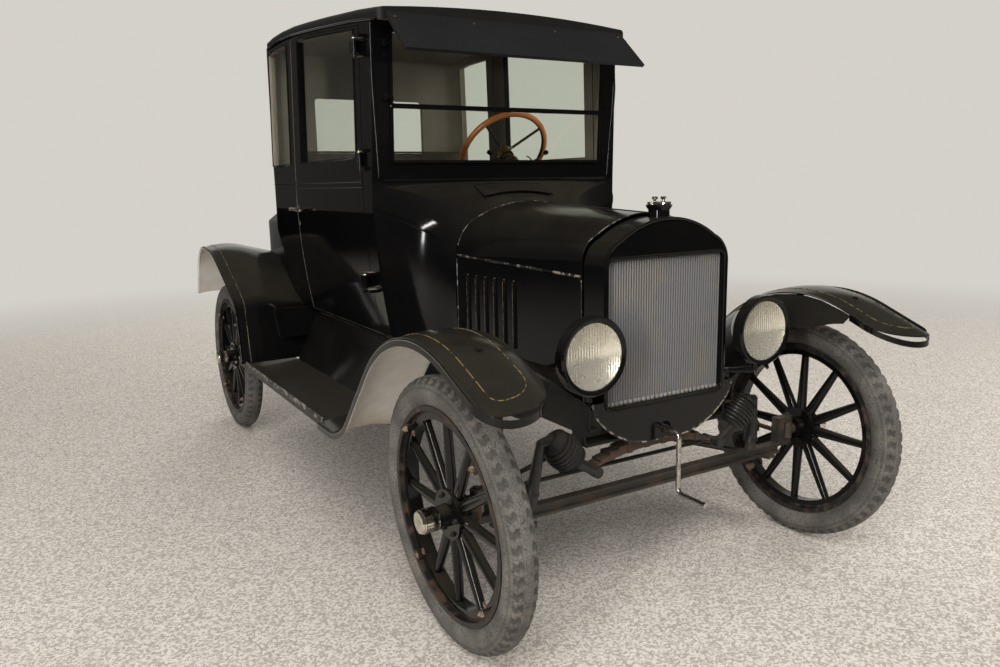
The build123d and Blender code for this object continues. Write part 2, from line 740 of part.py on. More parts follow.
def core_face(gap):
    """The core's outline as (x, z), drawn inside by gap, with its rounded lower corners."""
    half, low, high = CORE_HALF - gap, CORE_BOTTOM + gap, CORE_TOP - gap
    r = CORE_CORNER - gap
    return rounded([(-half, low), (half, low), (half, high), (-half, high)], [r, r, 0, 0])


def radiator_shell():
    outer = arch_face(SHELL_HALF, SHELL_TOP, FRONT_ARCH, CORE_BOTTOM - 12)
    hole = core_face(0)
    shape = front_prism(outer, RADIATOR_FRONT, RADIATOR_REAR) - front_prism(
        hole, RADIATOR_FRONT - 1, RADIATOR_REAR + 1
    )
    apron = make_face(
        Curve()
        + [
            Line((-APRON_HALF, CORE_BOTTOM + 24), (APRON_HALF, CORE_BOTTOM + 24)),
            Line((APRON_HALF, CORE_BOTTOM + 24), (APRON_HALF - 10, 603)),
            ThreePointArc((APRON_HALF - 10, 603), (APRON_HALF - 84, 534), (0, APRON_BOTTOM)),
            ThreePointArc((0, APRON_BOTTOM), (84 - APRON_HALF, 534), (10 - APRON_HALF, 603)),
            Line((10 - APRON_HALF, 603), (-APRON_HALF, CORE_BOTTOM + 24)),
        ]
    )
    apron_solid = front_prism(apron, RADIATOR_FRONT, RADIATOR_FRONT + SHEET)
    apron_solid -= front_prism(hole, RADIATOR_FRONT - 1, RADIATOR_REAR + 1)
    apron_solid -= rod((0, RADIATOR_FRONT - 20, CRANK_Z), (0, RADIATOR_FRONT + 20, CRANK_Z), 22)
    shape += apron_solid
    for side in (-1, 1):
        x0, x1 = sorted((side * (SHELL_HALF - 8), side * (RAIL_HALF - 4)))
        shape += block(x0, x1, RADIATOR_REAR - 55, RADIATOR_REAR - 5, RAIL_TOP + SEAT_GAP, RAIL_TOP + 10)
    y = (RADIATOR_FRONT + RADIATOR_REAR) / 2
    shape += rod((0, y, SHELL_TOP - 30), (0, y, SHELL_TOP + 18), NECK_RADIUS)
    return shape


def radiator_core():
    y0 = (RADIATOR_FRONT + RADIATOR_REAR - CORE_DEPTH) / 2
    return front_prism(core_face(SEAT_GAP), y0, y0 + CORE_DEPTH)


def radiator_cap():
    y = (RADIATOR_FRONT + RADIATOR_REAR) / 2
    z = SHELL_TOP + 18 + SEAT_GAP
    shape = rod((0, y, z), (0, y, z + 16), NECK_RADIUS + 6)
    shape += taper((0, y, z + 16), (0, y, CAP_TOP), 20, 10)
    shape += rod((-30, y, z + 24), (30, y, z + 24), 6)
    return shape


# Hood
def hood_face(share, inset):
    """The hood's outline at a share of its length from the front, drawn inside by inset."""
    half = HOOD_FRONT_HALF + (HOOD_REAR_HALF - HOOD_FRONT_HALF) * share - inset
    top = HOOD_FRONT_TOP + (HOOD_REAR_TOP - HOOD_FRONT_TOP) * share - inset
    form = [a + (b - a) * share for a, b in zip(FRONT_ARCH, REAR_ARCH)]
    return arch_face(half, top, form, HOOD_BOTTOM)


def hood_solid(inset):
    faces = []
    for share, y in ((0.0, HOOD_FRONT), (1.0, HOOD_REAR)):
        faces.append(Pos(0, y, 0) * (Plane.XZ * hood_face(share, inset)))
    return loft(faces, ruled=True)


def shoulder(side, y):
    share = (y - HOOD_FRONT) / (HOOD_REAR - HOOD_FRONT)
    x = HOOD_FRONT_HALF + (HOOD_REAR_HALF - HOOD_FRONT_HALF) * share - HOOD_SHEET / 2
    z = HOOD_FRONT_SHOULDER + (HOOD_REAR_SHOULDER - HOOD_FRONT_SHOULDER) * share
    return (side * x, y, z)


def centre_line(y):
    share = (y - HOOD_FRONT) / (HOOD_REAR - HOOD_FRONT)
    return (0.0, y, HOOD_FRONT_TOP + (HOOD_REAR_TOP - HOOD_FRONT_TOP) * share - HOOD_SHEET / 2)


def hood_leaves():
    """The left top leaf and the left side leaf."""
    skin = hood_solid(0) - hood_solid(HOOD_SHEET)
    y0, y1 = HOOD_FRONT, HOOD_REAR
    a, b = shoulder(1, y0), shoulder(1, y1)
    gap = HINGE_ROD + SEAT_GAP
    above = polygon((y0, a[2] + gap), (y1, b[2] + gap), (y1, 1400), (y0, 1400))
    below = polygon((y0, a[2] - gap), (y1, b[2] - gap), (y1, 600), (y0, 600))
    top = skin & side_prism(above, HINGE_ROD + SEAT_GAP, 500)
    low = skin & side_prism(below, 100, 500)
    low = low & block(100, 500, y0 - 10, y1 + 10, HOOD_BOTTOM + HOOD_SHEET + 1, 1100)
    top += rod(a, b, HINGE_ROD)
    strip = side_prism(
        polygon((y0, a[2]), (y1, b[2]), (y1, b[2] + gap + 2), (y0, a[2] + gap + 2)), 100, 500
    )
    top += skin & strip
    for i in range(LOUVERS):
        y = HOOD_REAR - 75 - i * LOUVER_PITCH
        x = shoulder(1, y)[0] + HOOD_SHEET / 2 - 1
        hood_angle = degrees(atan2(HOOD_REAR_HALF - HOOD_FRONT_HALF, HOOD_REAR - HOOD_FRONT))
        slot = Pos(x, y, 0) * Rot(0, 0, -hood_angle) * block(-12, 12, 0, 6, LOUVER_BOTTOM, LOUVER_TOP)
        low -= slot
        lip = rod((x, y, LOUVER_BOTTOM - 6), (x, y, LOUVER_TOP + 6), LOUVER_RADIUS)
        lip -= rod((x, y, LOUVER_BOTTOM), (x, y, LOUVER_TOP), LOUVER_RADIUS - 2)
        lip &= block(x - 0.5, x + 20, y - 20, y + 0.5, 700, 1100)
        low += lip
    return top, low


# Body section, as (x, z), seen from the front, moved inwards by inset
def cab_section(inset, bottom):
    low, mid, belt = BODY_HALF - 48 - inset, BODY_HALF - 19 - inset, BODY_HALF - inset
    roof = ROOF_EDGE_HALF - inset
    foot = low - 27
    edges = []
    for s in (1, -1):
        edges += [
            Line((s * foot, bottom), (s * low, BODY_BOTTOM + 30)),
            ThreePointArc((s * low, BODY_BOTTOM + 30), (s * mid, 920), (s * belt, 1180)),
            Line((s * belt, 1180), (s * belt, BELT_Z)),
            Line((s * belt, BELT_Z), (s * roof, 2100)),
        ]
    edges += [Line((-foot, bottom), (foot, bottom)), Line((-roof, 2100), (roof, 2100))]
    return make_face(Curve() + edges)


def screen_y(z):
    return COWL_REAR - (z - BELT_Z) * SCREEN_LEAN


def cab_side(inset):
    """The cab's outline from the side as (y, z)."""
    rear = CAB_REAR - inset
    low = BODY_BOTTOM - 60
    front = COWL_REAR + inset
    return make_face(
        Curve()
        + [
            Line((front, low), (front, BELT_Z)),
            Line((front, BELT_Z), (screen_y(2100) + inset, 2100)),
            Line((screen_y(2100) + inset, 2100), (rear, 2100)),
            Line((rear, 2100), (rear, BELT_Z)),
            ThreePointArc((rear, BELT_Z), (rear - 79, 1062), (rear - 245, 790)),
            Line((rear - 245, 790), (rear - 290, low)),
            Line((rear - 290, low), (front, low)),
        ]
    )


def cab_plan(inset):
    """The cab's outline from above as (x, y), with its rounded rear corners."""
    half, rear = BODY_HALF + 40, CAB_REAR - inset
    wide = BODY_HALF - inset + CORNER_CREASE
    r = 110 - inset
    return rounded(
        [(-half, -800), (half, -800), (half, rear - 260), (wide, rear - 230), (wide, rear), (-wide, rear),
         (-wide, rear - 230), (-half, rear - 260)],
        [0, 0, 0, 0, r, r, 0, 0],
    )


def cab_solid(inset):
    shape = front_prism(cab_section(inset, BODY_BOTTOM), -900, 1100)
    shape &= side_prism(cab_side(inset), -600, 600)
    return shape & plan_prism(cab_plan(inset), 500, 2150)


def roof_z(y):
    return between(ROOF_LINE, y)


def roof_profile(half, side):
    """The roof's section as (x, z), its side edge at the height given."""
    shoulder_x, shoulder_z = half - 34, side + 12
    low = side - ROOF_SLAB
    return make_face(
        Curve()
        + [
            Line((-half, low), (half, low)),
            Line((half, low), (half, side - 20)),
            ThreePointArc((half, side - 20), (half - 10, side + 2), (shoulder_x, shoulder_z)),
            ThreePointArc((shoulder_x, shoulder_z), (0, side + ROOF_CROWN), (-shoulder_x, shoulder_z)),
            ThreePointArc((-shoulder_x, shoulder_z), (-half + 10, side + 2), (-half, side - 20)),
            Line((-half, side - 20), (-half, low)),
        ]
    )


def roof():
    half = ROOF_EDGE_HALF + ROOF_LIP
    slab = loft([Pos(0, y, 0) * (Plane.XZ * roof_profile(half, z)) for y, z in ROOF_LINE], ruled=True)
    inset, rear = half - 0.5, CAB_REAR + 10
    plan = rounded(
        [(-inset, ROOF_FRONT), (inset, ROOF_FRONT), (inset, rear), (-inset, rear)], [30, 30, 120, 120]
    )
    return slab & plan_prism(plan, 1700, 2100)


def above_roof_line():
    low = [(y, z - ROOF_SLAB) for y, z in ROOF_LINE]
    return side_prism(polygon(*low, (low[-1][0], 2200), (low[0][0], 2200)), -700, 700)


def even_steps(start, end, count):
    return [start + (end - start) * i / count for i in range(count + 1)]


def side_opening(y0, y1, z0, drop):
    """A door or side window, its head a fixed drop below the roof's edge."""
    head = [(y, roof_z(y) - ROOF_SLAB - drop) for y in even_steps(y1, y0, HEAD_CHORDS)]
    return polygon((y0, z0), (y1, z0), *head)


def screen_opening(inset, z0, z1, half):
    return front_prism(
        polygon((-half + inset, z0 + inset), (half - inset, z0 + inset), (half - inset, z1 - inset),
                (-half + inset, z1 - inset)),
        -700, 200,
    )


def cab_wall():
    return cab_solid(0) - cab_solid(BODY_WALL) - above_roof_line()


def door_parts(wall):
    """The left door, cut from the cab's own wall, and its glass."""
    gap = DOOR_GAP
    outline = side_opening(DOOR_FRONT + gap, DOOR_REAR - gap, DOOR_BOTTOM + gap, DOOR_HEAD + gap)
    door = wall & side_prism(outline, 200, 700)
    window = side_opening(DOOR_WINDOW_FRONT, DOOR_WINDOW_REAR, WINDOW_SILL, WINDOW_HEAD)
    door -= side_prism(window, 200, 700)
    middle = (BODY_WALL - GLASS) / 2
    pane = cab_solid(middle) - cab_solid(middle + GLASS)
    g = SEAT_GAP
    pane &= side_prism(
        side_opening(DOOR_WINDOW_FRONT + g, DOOR_WINDOW_REAR - g, WINDOW_SILL + g, WINDOW_HEAD + g), 200, 700
    )
    knuckles, _ = door_hinges()
    for knuckle_solid in knuckles:
        door += knuckle_solid
    return door + door_handle(), pane


def side_x(z):
    """The cab side's outer x at a height, by straight lines between the section's points."""
    half = BODY_HALF
    lower = ((725, half - 48), (920, half - 19), (1180, half))
    return between((*lower, (BELT_Z, half), (2100, ROOF_EDGE_HALF)), z)


def door_hinges():
    """The left door's hinge knuckles, and the body's, which hold the pins."""
    x, y, r = DOOR_HINGE_X, DOOR_HINGE_Y, HINGE_RADIUS
    door, body = [], []
    for z in DOOR_HINGES:
        skin = side_x(z) - 8
        half = HINGE_LENGTH / 2
        knuckle_solid = rod((x, y, z - half), (x, y, z + half), r)
        knuckle_solid += block(skin, x, y, y + 46, z - half + 2, z + half - 2)
        knuckle_solid -= block(skin - 1, x - 9, y - 20, DOOR_FRONT + DOOR_GAP, z - 60, z + 60)
        door.append(knuckle_solid - rod((x, y, z - 60), (x, y, z + 60), r / 2 + 0.05))
        pin = rod((x, y, z - half - 14), (x, y, z + half + 14), r / 2)
        for z0, z1 in ((z + half + 1, z + half + 13), (z - half - 13, z - half - 1)):
            pin += rod((x, y, z0), (x, y, z1), r)
            pin += block(skin, x, y - 40, y, z0, z1)
        body.append(pin)
    return door, body


def door_handle():
    x, y, z = side_x(HANDLE_Z), HANDLE_Y, HANDLE_Z
    shape = rod((x - 2, y, z), (x + 42, y, z), 8)
    return shape + rod((x + 38, y + 16, z), (x + 38, y - HANDLE_REACH, z), 7)


def body_shell(wall):
    shape = wall
    door = side_opening(DOOR_FRONT, DOOR_REAR, DOOR_BOTTOM, DOOR_HEAD)
    shape -= side_prism(door, -700, 700)
    quarter = side_opening(QUARTER_FRONT, QUARTER_REAR, WINDOW_SILL, WINDOW_HEAD)
    shape -= side_prism(quarter, -700, 700)
    shape -= screen_opening(0, SCREEN_SILL, SCREEN_HEAD, SCREEN_HALF)
    half = REAR_WINDOW_HALF
    rear = rounded(
        [(-half, REAR_WINDOW_SILL), (half, REAR_WINDOW_SILL), (half, REAR_WINDOW_HEAD), (-half, REAR_WINDOW_HEAD)],
        [20] * 4,
    )
    shape -= front_prism(rear, 800, 1100)
    inner = cab_section(BODY_WALL, BODY_BOTTOM)
    mouth = front_prism(inner, COWL_REAR - 10, COWL_REAR + BODY_WALL + 1)
    shape -= mouth & block(-700, 700, -700, 0, 0, BELT_Z - 30)
    _, pins = door_hinges()
    for pin in pins:
        shape += pin
        shape += mirrored(pin)
    return shape


def fixed_glass():
    g = SEAT_GAP
    middle = (BODY_WALL - GLASS) / 2
    pane = cab_solid(middle) - cab_solid(middle + GLASS)
    panes = []
    quarter = side_opening(QUARTER_FRONT + g, QUARTER_REAR - g, WINDOW_SILL + g, WINDOW_HEAD + g)
    panes += (pane & side_prism(quarter, 200, 700)).solids()
    panes += (pane & side_prism(quarter, -700, -200)).solids()
    panes += (pane & screen_opening(g, SCREEN_SILL, SCREEN_SPLIT, SCREEN_HALF)).solids()
    panes += (pane & screen_opening(g, SCREEN_SPLIT, SCREEN_HEAD, SCREEN_HALF)).solids()
    half = REAR_WINDOW_HALF - g
    rear = rounded(
        [(-half, REAR_WINDOW_SILL + g), (half, REAR_WINDOW_SILL + g), (half, REAR_WINDOW_HEAD - g),
         (-half, REAR_WINDOW_HEAD - g)],
        [20] * 4,
    )
    panes += (pane & front_prism(rear, 800, 1100)).solids()
    return Compound(children=panes)


# Cowl, from the hood's rear arch to the cab's front
def cowl_face(y, foot, half, z_side, bend, corner, top, inset):
    points = [
        (foot - inset, BODY_BOTTOM),
        ((foot + half) / 2 + 8 - inset, (BODY_BOTTOM + z_side) / 2),
        (half - inset, z_side),
        (bend[0] - inset, bend[1] - inset),
        (corner[0] - inset, corner[1] - inset),
    ]
    top_point = (0, top - inset)
    flip = [(-x, z) for x, z in points]
    outline = Curve() + [
        Line(flip[0], points[0]),
        ThreePointArc(points[0], points[1], points[2]),
        ThreePointArc(points[2], points[3], points[4]),
        ThreePointArc(points[4], top_point, flip[4]),
        ThreePointArc(flip[4], flip[3], flip[2]),
        ThreePointArc(flip[2], flip[1], flip[0]),
    ]
    return Pos(0, y, 0) * (Plane.XZ * make_face(outline))


# y, foot half-width, half-width, side top z, bend (x, z), corner (x, z), crown z
COWL_SECTIONS = (
    (HOOD_REAR + 4, 300, HOOD_REAR_HALF + 1, 1027, (291, 1092), (250, 1143), HOOD_REAR_TOP),
    (-475, 330, 352, 1085, (338, 1155), (298, 1200), 1250),
    (COWL_REAR, 473, BODY_HALF, 1180, (541, 1246), (512, 1274), BELT_Z - 2),
)


def cowl_solid(inset):
    faces = [cowl_face(*row, inset) for row in COWL_SECTIONS]
    return loft(faces)


def cowl():
    shape = cowl_solid(0) - cowl_solid(COWL_WALL)
    firewall = cowl_solid(1) & block(-700, 700, HOOD_REAR, HOOD_REAR + 26, 600, 1400)
    firewall -= rod(along(STEER_FOOT, STEER_HUB, 0.2), STEER_HUB, COLUMN_RADIUS + 3)
    centre_rod = rod(centre_line(RADIATOR_REAR + SEAT_GAP), centre_line(HOOD_REAR + 10), HINGE_ROD)
    return shape + firewall + centre_rod


# Rear deck
def deck_solid(inset):
    i = inset
    side = make_face(
        FilletPolyline(
            (700, DECK_BOTTOM + i), (DECK_REAR - 250, DECK_BOTTOM + i), (DECK_REAR - i, 900),
            (DECK_REAR - 30 - i, DECK_TAIL - i), (CAB_REAR - 200, DECK_TOP + 30 - i), (700, DECK_TOP + 30 - i),
            radius=[0, 160 - i, 90 - i, 130 - i, 0, 0], close=True,
        )
    )
    plan = rounded(
        [(-DECK_HALF - 30 + i, 690), (DECK_HALF + 30 - i, 690), (DECK_HALF - 20 - i, DECK_REAR - i),
         (-DECK_HALF + 20 + i, DECK_REAR - i)],
        [0, 0, 190 - i, 190 - i],
    )
    return side_prism(side, -600, 600) & plan_prism(plan, 600, 1300)


def lid_prism(gap):
    x, y0, y1 = LID_HALF - gap, LID_FRONT + gap, LID_REAR - gap
    return plan_prism(rounded([(-x, y0), (x, y0), (x, y1), (-x, y1)], [10, 10, 60, 60]), 1000, 1300)


def deck_z(y):
    """The deck's upper surface."""
    y0, z0 = CAB_REAR - 200, DECK_TOP + 30
    y1, z1 = DECK_REAR - 30, DECK_TAIL
    return z0 + (z1 - z0) * (y - y0) / (y1 - y0)


def lid_strap(x0, x1, reach):
    """A hinge strap along the deck's surface, from the pin to a distance behind or before it."""
    y, z = LID_FRONT, deck_z(LID_FRONT) + LID_PIN_LIFT
    end = y + reach
    face = polygon((y, deck_z(y) - 2), (y, z + 3), (end, deck_z(end) + 3), (end, deck_z(end) - 2))
    return side_prism(face, x0, x1)


def lid_hinge(x):
    """One hinge of the lid: its own knuckle, and the deck's, which hold the pin."""
    y, z = LID_FRONT, deck_z(LID_FRONT) + LID_PIN_LIFT
    half, end, r = LID_KNUCKLE / 2, LID_KNUCKLE, HINGE_RADIUS
    own = rod((x - half, y, z), (x + half, y, z), r) + lid_strap(x - half, x + half, LID_STRAP)
    own -= rod((x - end, y, z), (x + end, y, z), r / 2 + 0.05)
    own -= block(x - end, x + end, y - r - 20, y + DOOR_GAP, 1000, z - r)
    deck = rod((x - end, y, z), (x + end, y, z), r / 2)
    for x0, x1 in ((x - end, x - half - 1), (x + half + 1, x + end)):
        deck += rod((x0, y, z), (x1, y, z), r) + lid_strap(x0, x1, -LID_STRAP)
    return own, deck


def rear_deck():
    skin = deck_solid(0) - deck_solid(DECK_WALL)
    lid = skin & lid_prism(DOOR_GAP)
    shell = skin - lid_prism(0) - cab_solid(-SEAT_GAP)
    for x in LID_HINGES:
        own, deck = lid_hinge(x)
        lid += own
        shell += deck
    return shell, lid


# Fenders: each is a crowned section carried along its side view, rear end first
# y, z and the bend's radius at each corner
FRONT_FENDER = (
    (BOARD_FRONT, BOARD_TOP, 0),
    (-700, BOARD_TOP, 250),
    (-1185, 978, 468),
    (FENDER_NOSE - 8, 761, 0),
)
REAR_FENDER = (
    (1572, 705, 0),
    (1450, 985, 215),
    (1120, 963, 400),
    (688, 750, 60),
    (634, BOARD_TOP + 7, 0),
)


def fender_path(table):
    points = [(0, y, z) for y, z, _ in table]
    radii = [r for _, _, r in table]
    return FilletPolyline(*points, radius=radii[1:-1] if len(radii) > 2 else radii)


def fender_section(inner, fall):
    """The left fender's section as (x, height), falling towards its inner edge."""
    t = FENDER_SHEET
    outer = FENDER_OUTER - 6
    mid = (outer + FENDER_INNER) / 2
    face = make_face(
        Curve()
        + [
            ThreePointArc((FENDER_INNER, 2), (mid, FENDER_CROWN), (outer, 0)),
            Line((outer, 0), (outer - t / 2, -t)),
            ThreePointArc((outer - t / 2, -t), (mid, FENDER_CROWN - t), (FENDER_INNER, 2 - t)),
            Line((FENDER_INNER, 2 - t), (inner, 2 - t - fall)),
            Line((inner, 2 - t - fall), (inner, 2 - fall)),
            Line((inner, 2 - fall), (FENDER_INNER, 2)),
        ]
    )
    return face + Pos(outer, 0) * Circle(FENDER_BEAD)


def fender(table, section):
    path = fender_path(table)
    start = Plane(origin=path @ 0, z_dir=path % 0, x_dir=(1, 0, 0))
    return sweep(start * section, path=path)


def nose_plan(inset):
    """The plan outline that rounds a front fender's nose."""
    nose = FENDER_NOSE + inset
    x0, x1 = FENDER_INNER - 7 + inset, FENDER_OUTER - inset
    outer, inner = (share * (FENDER_OUTER - FENDER_INNER) - inset for share in NOSE_ROUNDS)
    return rounded([(x0, 200), (x1, 200), (x1, nose), (x0, nose)], [0, 0, outer, inner])


def nose_lip():
    """The lip that hangs from a front fender's rounded nose and outer edge."""
    low, high = -FENDER_LIP, -FENDER_SHEET / 2
    x0, x1 = FENDER_INNER - 40, FENDER_OUTER + 20
    band = polygon((x0, low), (x1, low), (x1, high), (x0, high))
    rim = plan_prism(nose_plan(0), 300, 1100) - plan_prism(nose_plan(FENDER_SHEET), 290, 1110)
    rim -= block(0, FENDER_INNER + 60, APRON_REACH[0][0], 300, 200, 1200)
    return fender(FRONT_FENDER, band) & rim


def front_fender():
    shape = fender(FRONT_FENDER, fender_section(FENDER_INNER - 6, 0)) & plan_prism(nose_plan(0), 300, 1100)
    return shape + nose_lip()


def rear_fender():
    shape = fender(REAR_FENDER, fender_section(DECK_HALF - 10, FENDER_FALL))
    shape -= cab_solid(-SEAT_GAP)
    shape -= deck_solid(-SEAT_GAP)
    return shape.solids().sort_by(SortBy.VOLUME)[-1]


def apron_stations():
    """Points along a front fender's side view: few on straight lines, more round bends."""
    points = []
    for edge in fender_path(FRONT_FENDER).edges():
        count = 1 if edge.geom_type == GeomType.LINE else APRON_BENDS
        points += [edge @ (i / count) for i in range(count)]
    points += [Vector(0, y, fender_z(y)) for y, _ in APRON_REACH]
    nose, rear = APRON_REACH[0][0], BOARD_FRONT - SEAT_GAP
    kept = {round(p.Y): p for p in points if nose <= p.Y < rear}
    return [Vector(0, rear, BOARD_TOP)] + [kept[y] for y in sorted(kept, reverse=True)]


def fender_z(y):
    """The front fender's height in the side view at y."""
    path = fender_path(FRONT_FENDER)
    low, high = 0.0, 1.0
    for _ in range(30):
        middle = (low + high) / 2
        if (path @ middle).Y > y:
            low = middle
        else:
            high = middle
    return (path @ low).Z


def fender_apron():
    """The sheet from a front fender's inner edge down to the frame, as a ruled loft."""
    t = FENDER_SHEET
    frame = (RAIL_HALF + SEAT_GAP, RAIL_TOP + 2)
    faces = []
    for point in apron_stations():
        y, z = point.Y, point.Z - t - APRON_DROP
        top = (FENDER_INNER - 2, z)
        reach = between(APRON_REACH, y)
        foot = tuple(a + (b - a) * reach for a, b in zip(top, frame))
        face = polygon(top, foot, (foot[0], foot[1] - t), (top[0], top[1] - t))
        faces.append(Pos(0, y, 0) * (Plane.XZ * face))
    return loft(faces, ruled=True)


def splash_apron():
    """The panel between the running board and the body's sill."""
    t = FENDER_SHEET
    face = polygon(
        (BOARD_INNER - 1, BOARD_TOP - 4),
        (BOARD_INNER - 1 - t, BOARD_TOP - 4),
        (BODY_HALF - 92 - t, BODY_BOTTOM - 12),
        (BODY_HALF - 92, BODY_BOTTOM - 12),
    )
    return front_prism(face, BOARD_FRONT, BOARD_REAR - 140)


def running_board():
    outer = BOARD_OUTER
    face = polygon(
        (BOARD_INNER, BOARD_TOP),
        (outer, BOARD_TOP),
        (outer, BOARD_TOP - BOARD_THICK),
        (outer - 4, BOARD_TOP - BOARD_THICK),
        (outer - 4, BOARD_TOP - 4),
        (BOARD_INNER + 4, BOARD_TOP - 4),
        (BOARD_INNER + 4, BOARD_TOP - BOARD_THICK),
        (BOARD_INNER, BOARD_TOP - BOARD_THICK),
    )
    return front_prism(face, BOARD_FRONT + 1, BOARD_REAR)


# Lamps
def lamp_bracket():
    """The left headlamp's post, arm and foot on the frame, as rods: start, end, radius."""
    y, z = LAMP_Y + 30, RAIL_TOP + 34
    foot = (RAIL_HALF - 14, RAIL_FRONT + 22)
    return (
        ((LAMP_X, y, LAMP_Z - LAMP_RADIUS + 20), (LAMP_X, y, z), 10),
        ((LAMP_X, y, z + 2), (*foot, z - 8), 10),
        ((*foot, z + 2), (*foot, RAIL_TOP + SEAT_GAP), 13),
    )


def lamp():
    """The left headlamp's drum, with its post down to the frame."""
    r = LAMP_RADIUS
    profile = make_face(
        Curve()
        + [
            Line((0, 0), (-LAMP_DEPTH, 0)),
            ThreePointArc((-LAMP_DEPTH, 0), (-LAMP_DEPTH * 0.62, r * 0.58), (-20, r - 8)),
            Line((-20, r - 8), (-20, r)),
            Line((-20, r), (6, r)),
            Line((6, r), (6, LENS_RADIUS)),
            Line((6, LENS_RADIUS), (0, LENS_RADIUS)),
            Line((0, LENS_RADIUS), (0, 0)),
        ]
    )
    drum = revolve(profile, Axis.X)
    shape = Pos(LAMP_X, LAMP_Y, LAMP_Z) * Rot(0, 0, -90) * drum
    for start, end, radius in lamp_bracket():
        shape += rod(start, end, radius)
    return shape


def lens():
    r, bulge, edge = LENS_RADIUS - SEAT_GAP, 8.0, 6.0
    dome = (r**2 + bulge**2) / (2 * bulge)
    tip = edge + bulge
    profile = make_face(
        Curve()
        + [
            Line((SEAT_GAP, 0), (SEAT_GAP, r)),
            Line((SEAT_GAP, r), (edge, r)),
            ThreePointArc((edge, r), (tip - dome + sqrt(dome**2 - r**2 / 4), r / 2), (tip, 0)),
            Line((tip, 0), (SEAT_GAP, 0)),
        ]
    )
    return Pos(LAMP_X, LAMP_Y, LAMP_Z) * Rot(0, 0, -90) * revolve(profile, Axis.X)


def tail_lamp():
    x, z = 300.0, 960.0
    y = DECK_REAR + 32
    shape = rod((x, y - 90, z), (x, y, z), 7) - deck_solid(-SEAT_GAP)
    return shape + rod((x, y - 4, z), (x, y + 34, z), 36)


# Steering wheel and column
def steering_column():
    foot, hub = Vector(*STEER_FOOT), Vector(*STEER_HUB)
    shape = rod(foot - COLUMN_AXIS * 25.7, hub - COLUMN_AXIS * 40.3, COLUMN_RADIUS - 4)
    x, y, z = along(STEER_FOOT, STEER_HUB, 0.104)
    bracket = block(x - 8, RAIL_HALF - 4, y - 14, y + 14, RAIL_TOP + SEAT_GAP, z + 14)
    return shape + bracket


def steering_wheel():
    plane = Plane(origin=Vector(*STEER_HUB), z_dir=COLUMN_AXIS)
    rim = plane * Torus(STEER_WHEEL_RADIUS - STEER_RIM_RADIUS, STEER_RIM_RADIUS)
    shape = rim + Solid.make_cylinder(34, 44, plane.offset(-40))
    for i in range(4):
        local = Rot(0, 0, 45 + i * 90)
        arm = local * Solid.make_cylinder(6, STEER_WHEEL_RADIUS - STEER_RIM_RADIUS, Plane.YZ)
        shape += plane * Pos(0, 0, -4) * arm
    return shape


def controls():
    """Three pedals and the brake lever."""
    y = HOOD_REAR + 60
    shape = None
    for x in (60.0, 130.0, 200.0):
        low = BODY_BOTTOM + FLOOR_BOARD + SEAT_GAP
        pedal = bent_rod([(x, y + 60, low), (x, y + 60, low + 90), (x, y + 120, low + 150)], 7, 20)
        pedal += Pos(x, y + 120, low + 150) * Rot(-45, 0, 0) * Box(46, 60, 8)
        shape = pedal if shape is None else shape + pedal
    floor = BODY_BOTTOM + FLOOR_BOARD + SEAT_GAP
    lever = bent_rod([(390, -160, floor), (390, -160, 1000), (390, -60, 1180)], 9, 60)
    return shape + lever


def body_floor():
    """Floor boards on two sills that lie on the frame."""
    half = BODY_HALF - 48 - 27 - BODY_WALL - SEAT_GAP
    rear = CAB_REAR - BODY_WALL - 275
    top = BODY_BOTTOM + FLOOR_BOARD
    shape = block(-half, half, COWL_REAR + 2, rear, BODY_BOTTOM, top)
    front = cowl_solid(COWL_WALL + 1) & block(
        -half, half, HOOD_REAR + 4 + 24, COWL_REAR + 3, BODY_BOTTOM - 1, top
    )
    shape += front
    for side in (-1, 1):
        x0, x1 = sorted((side * (RAIL_HALF - 50), side * RAIL_HALF))
        shape += block(x0, x1, HOOD_REAR + 28, COWL_REAR + 4, RAIL_TOP, BODY_BOTTOM)
        shape += block(x0, x1, COWL_REAR + 3, rear, RAIL_TOP, BODY_BOTTOM + 1)
        shape += block(x0, x1, rear - 1, RAIL_REAR - 60, RAIL_TOP, DECK_BOTTOM) - cab_solid(-SEAT_GAP)
    return shape


def seat():
    g = SEAT_GAP
    half = SEAT_HALF
    low = BODY_BOTTOM + FLOOR_BOARD + g
    top = low + 150
    base = block(-half, half, 110, 560, low, top)
    cushion = block(-half, half, 90, 590, top, top + 145)
    back = side_prism(polygon((590 + g, top + 20), (690, top + 40), (830, 1440), (735, 1440)), -half, half)
    return base + cushion + back


def visor():
    y = ROOF_FRONT - SEAT_GAP
    (back, front), (low, high) = VISOR_TIP, VISOR_SEAT
    face = polygon((y, low), (y, high), (front, VISOR_DROP), (back, VISOR_DROP - 8))
    return side_prism(face, -VISOR_HALF, VISOR_HALF)


def starting_crank():
    y = CRANK_FACE
    points = [
        (0, -1182, CRANK_Z),
        (0, y, CRANK_Z),
        (0, y, CRANK_Z - CRANK_ARM),
        (0, y - CRANK_HANDLE, CRANK_Z - CRANK_ARM),
    ]
    return bent_rod(points, CRANK_RADIUS, 22)


def save(name, *shapes):
    solids = [solid for shape in shapes for solid in shape.solids()]
    body = solids[0] if len(solids) == 1 else Compound(children=solids)
    export_step(body, f"parts/{name}.step")


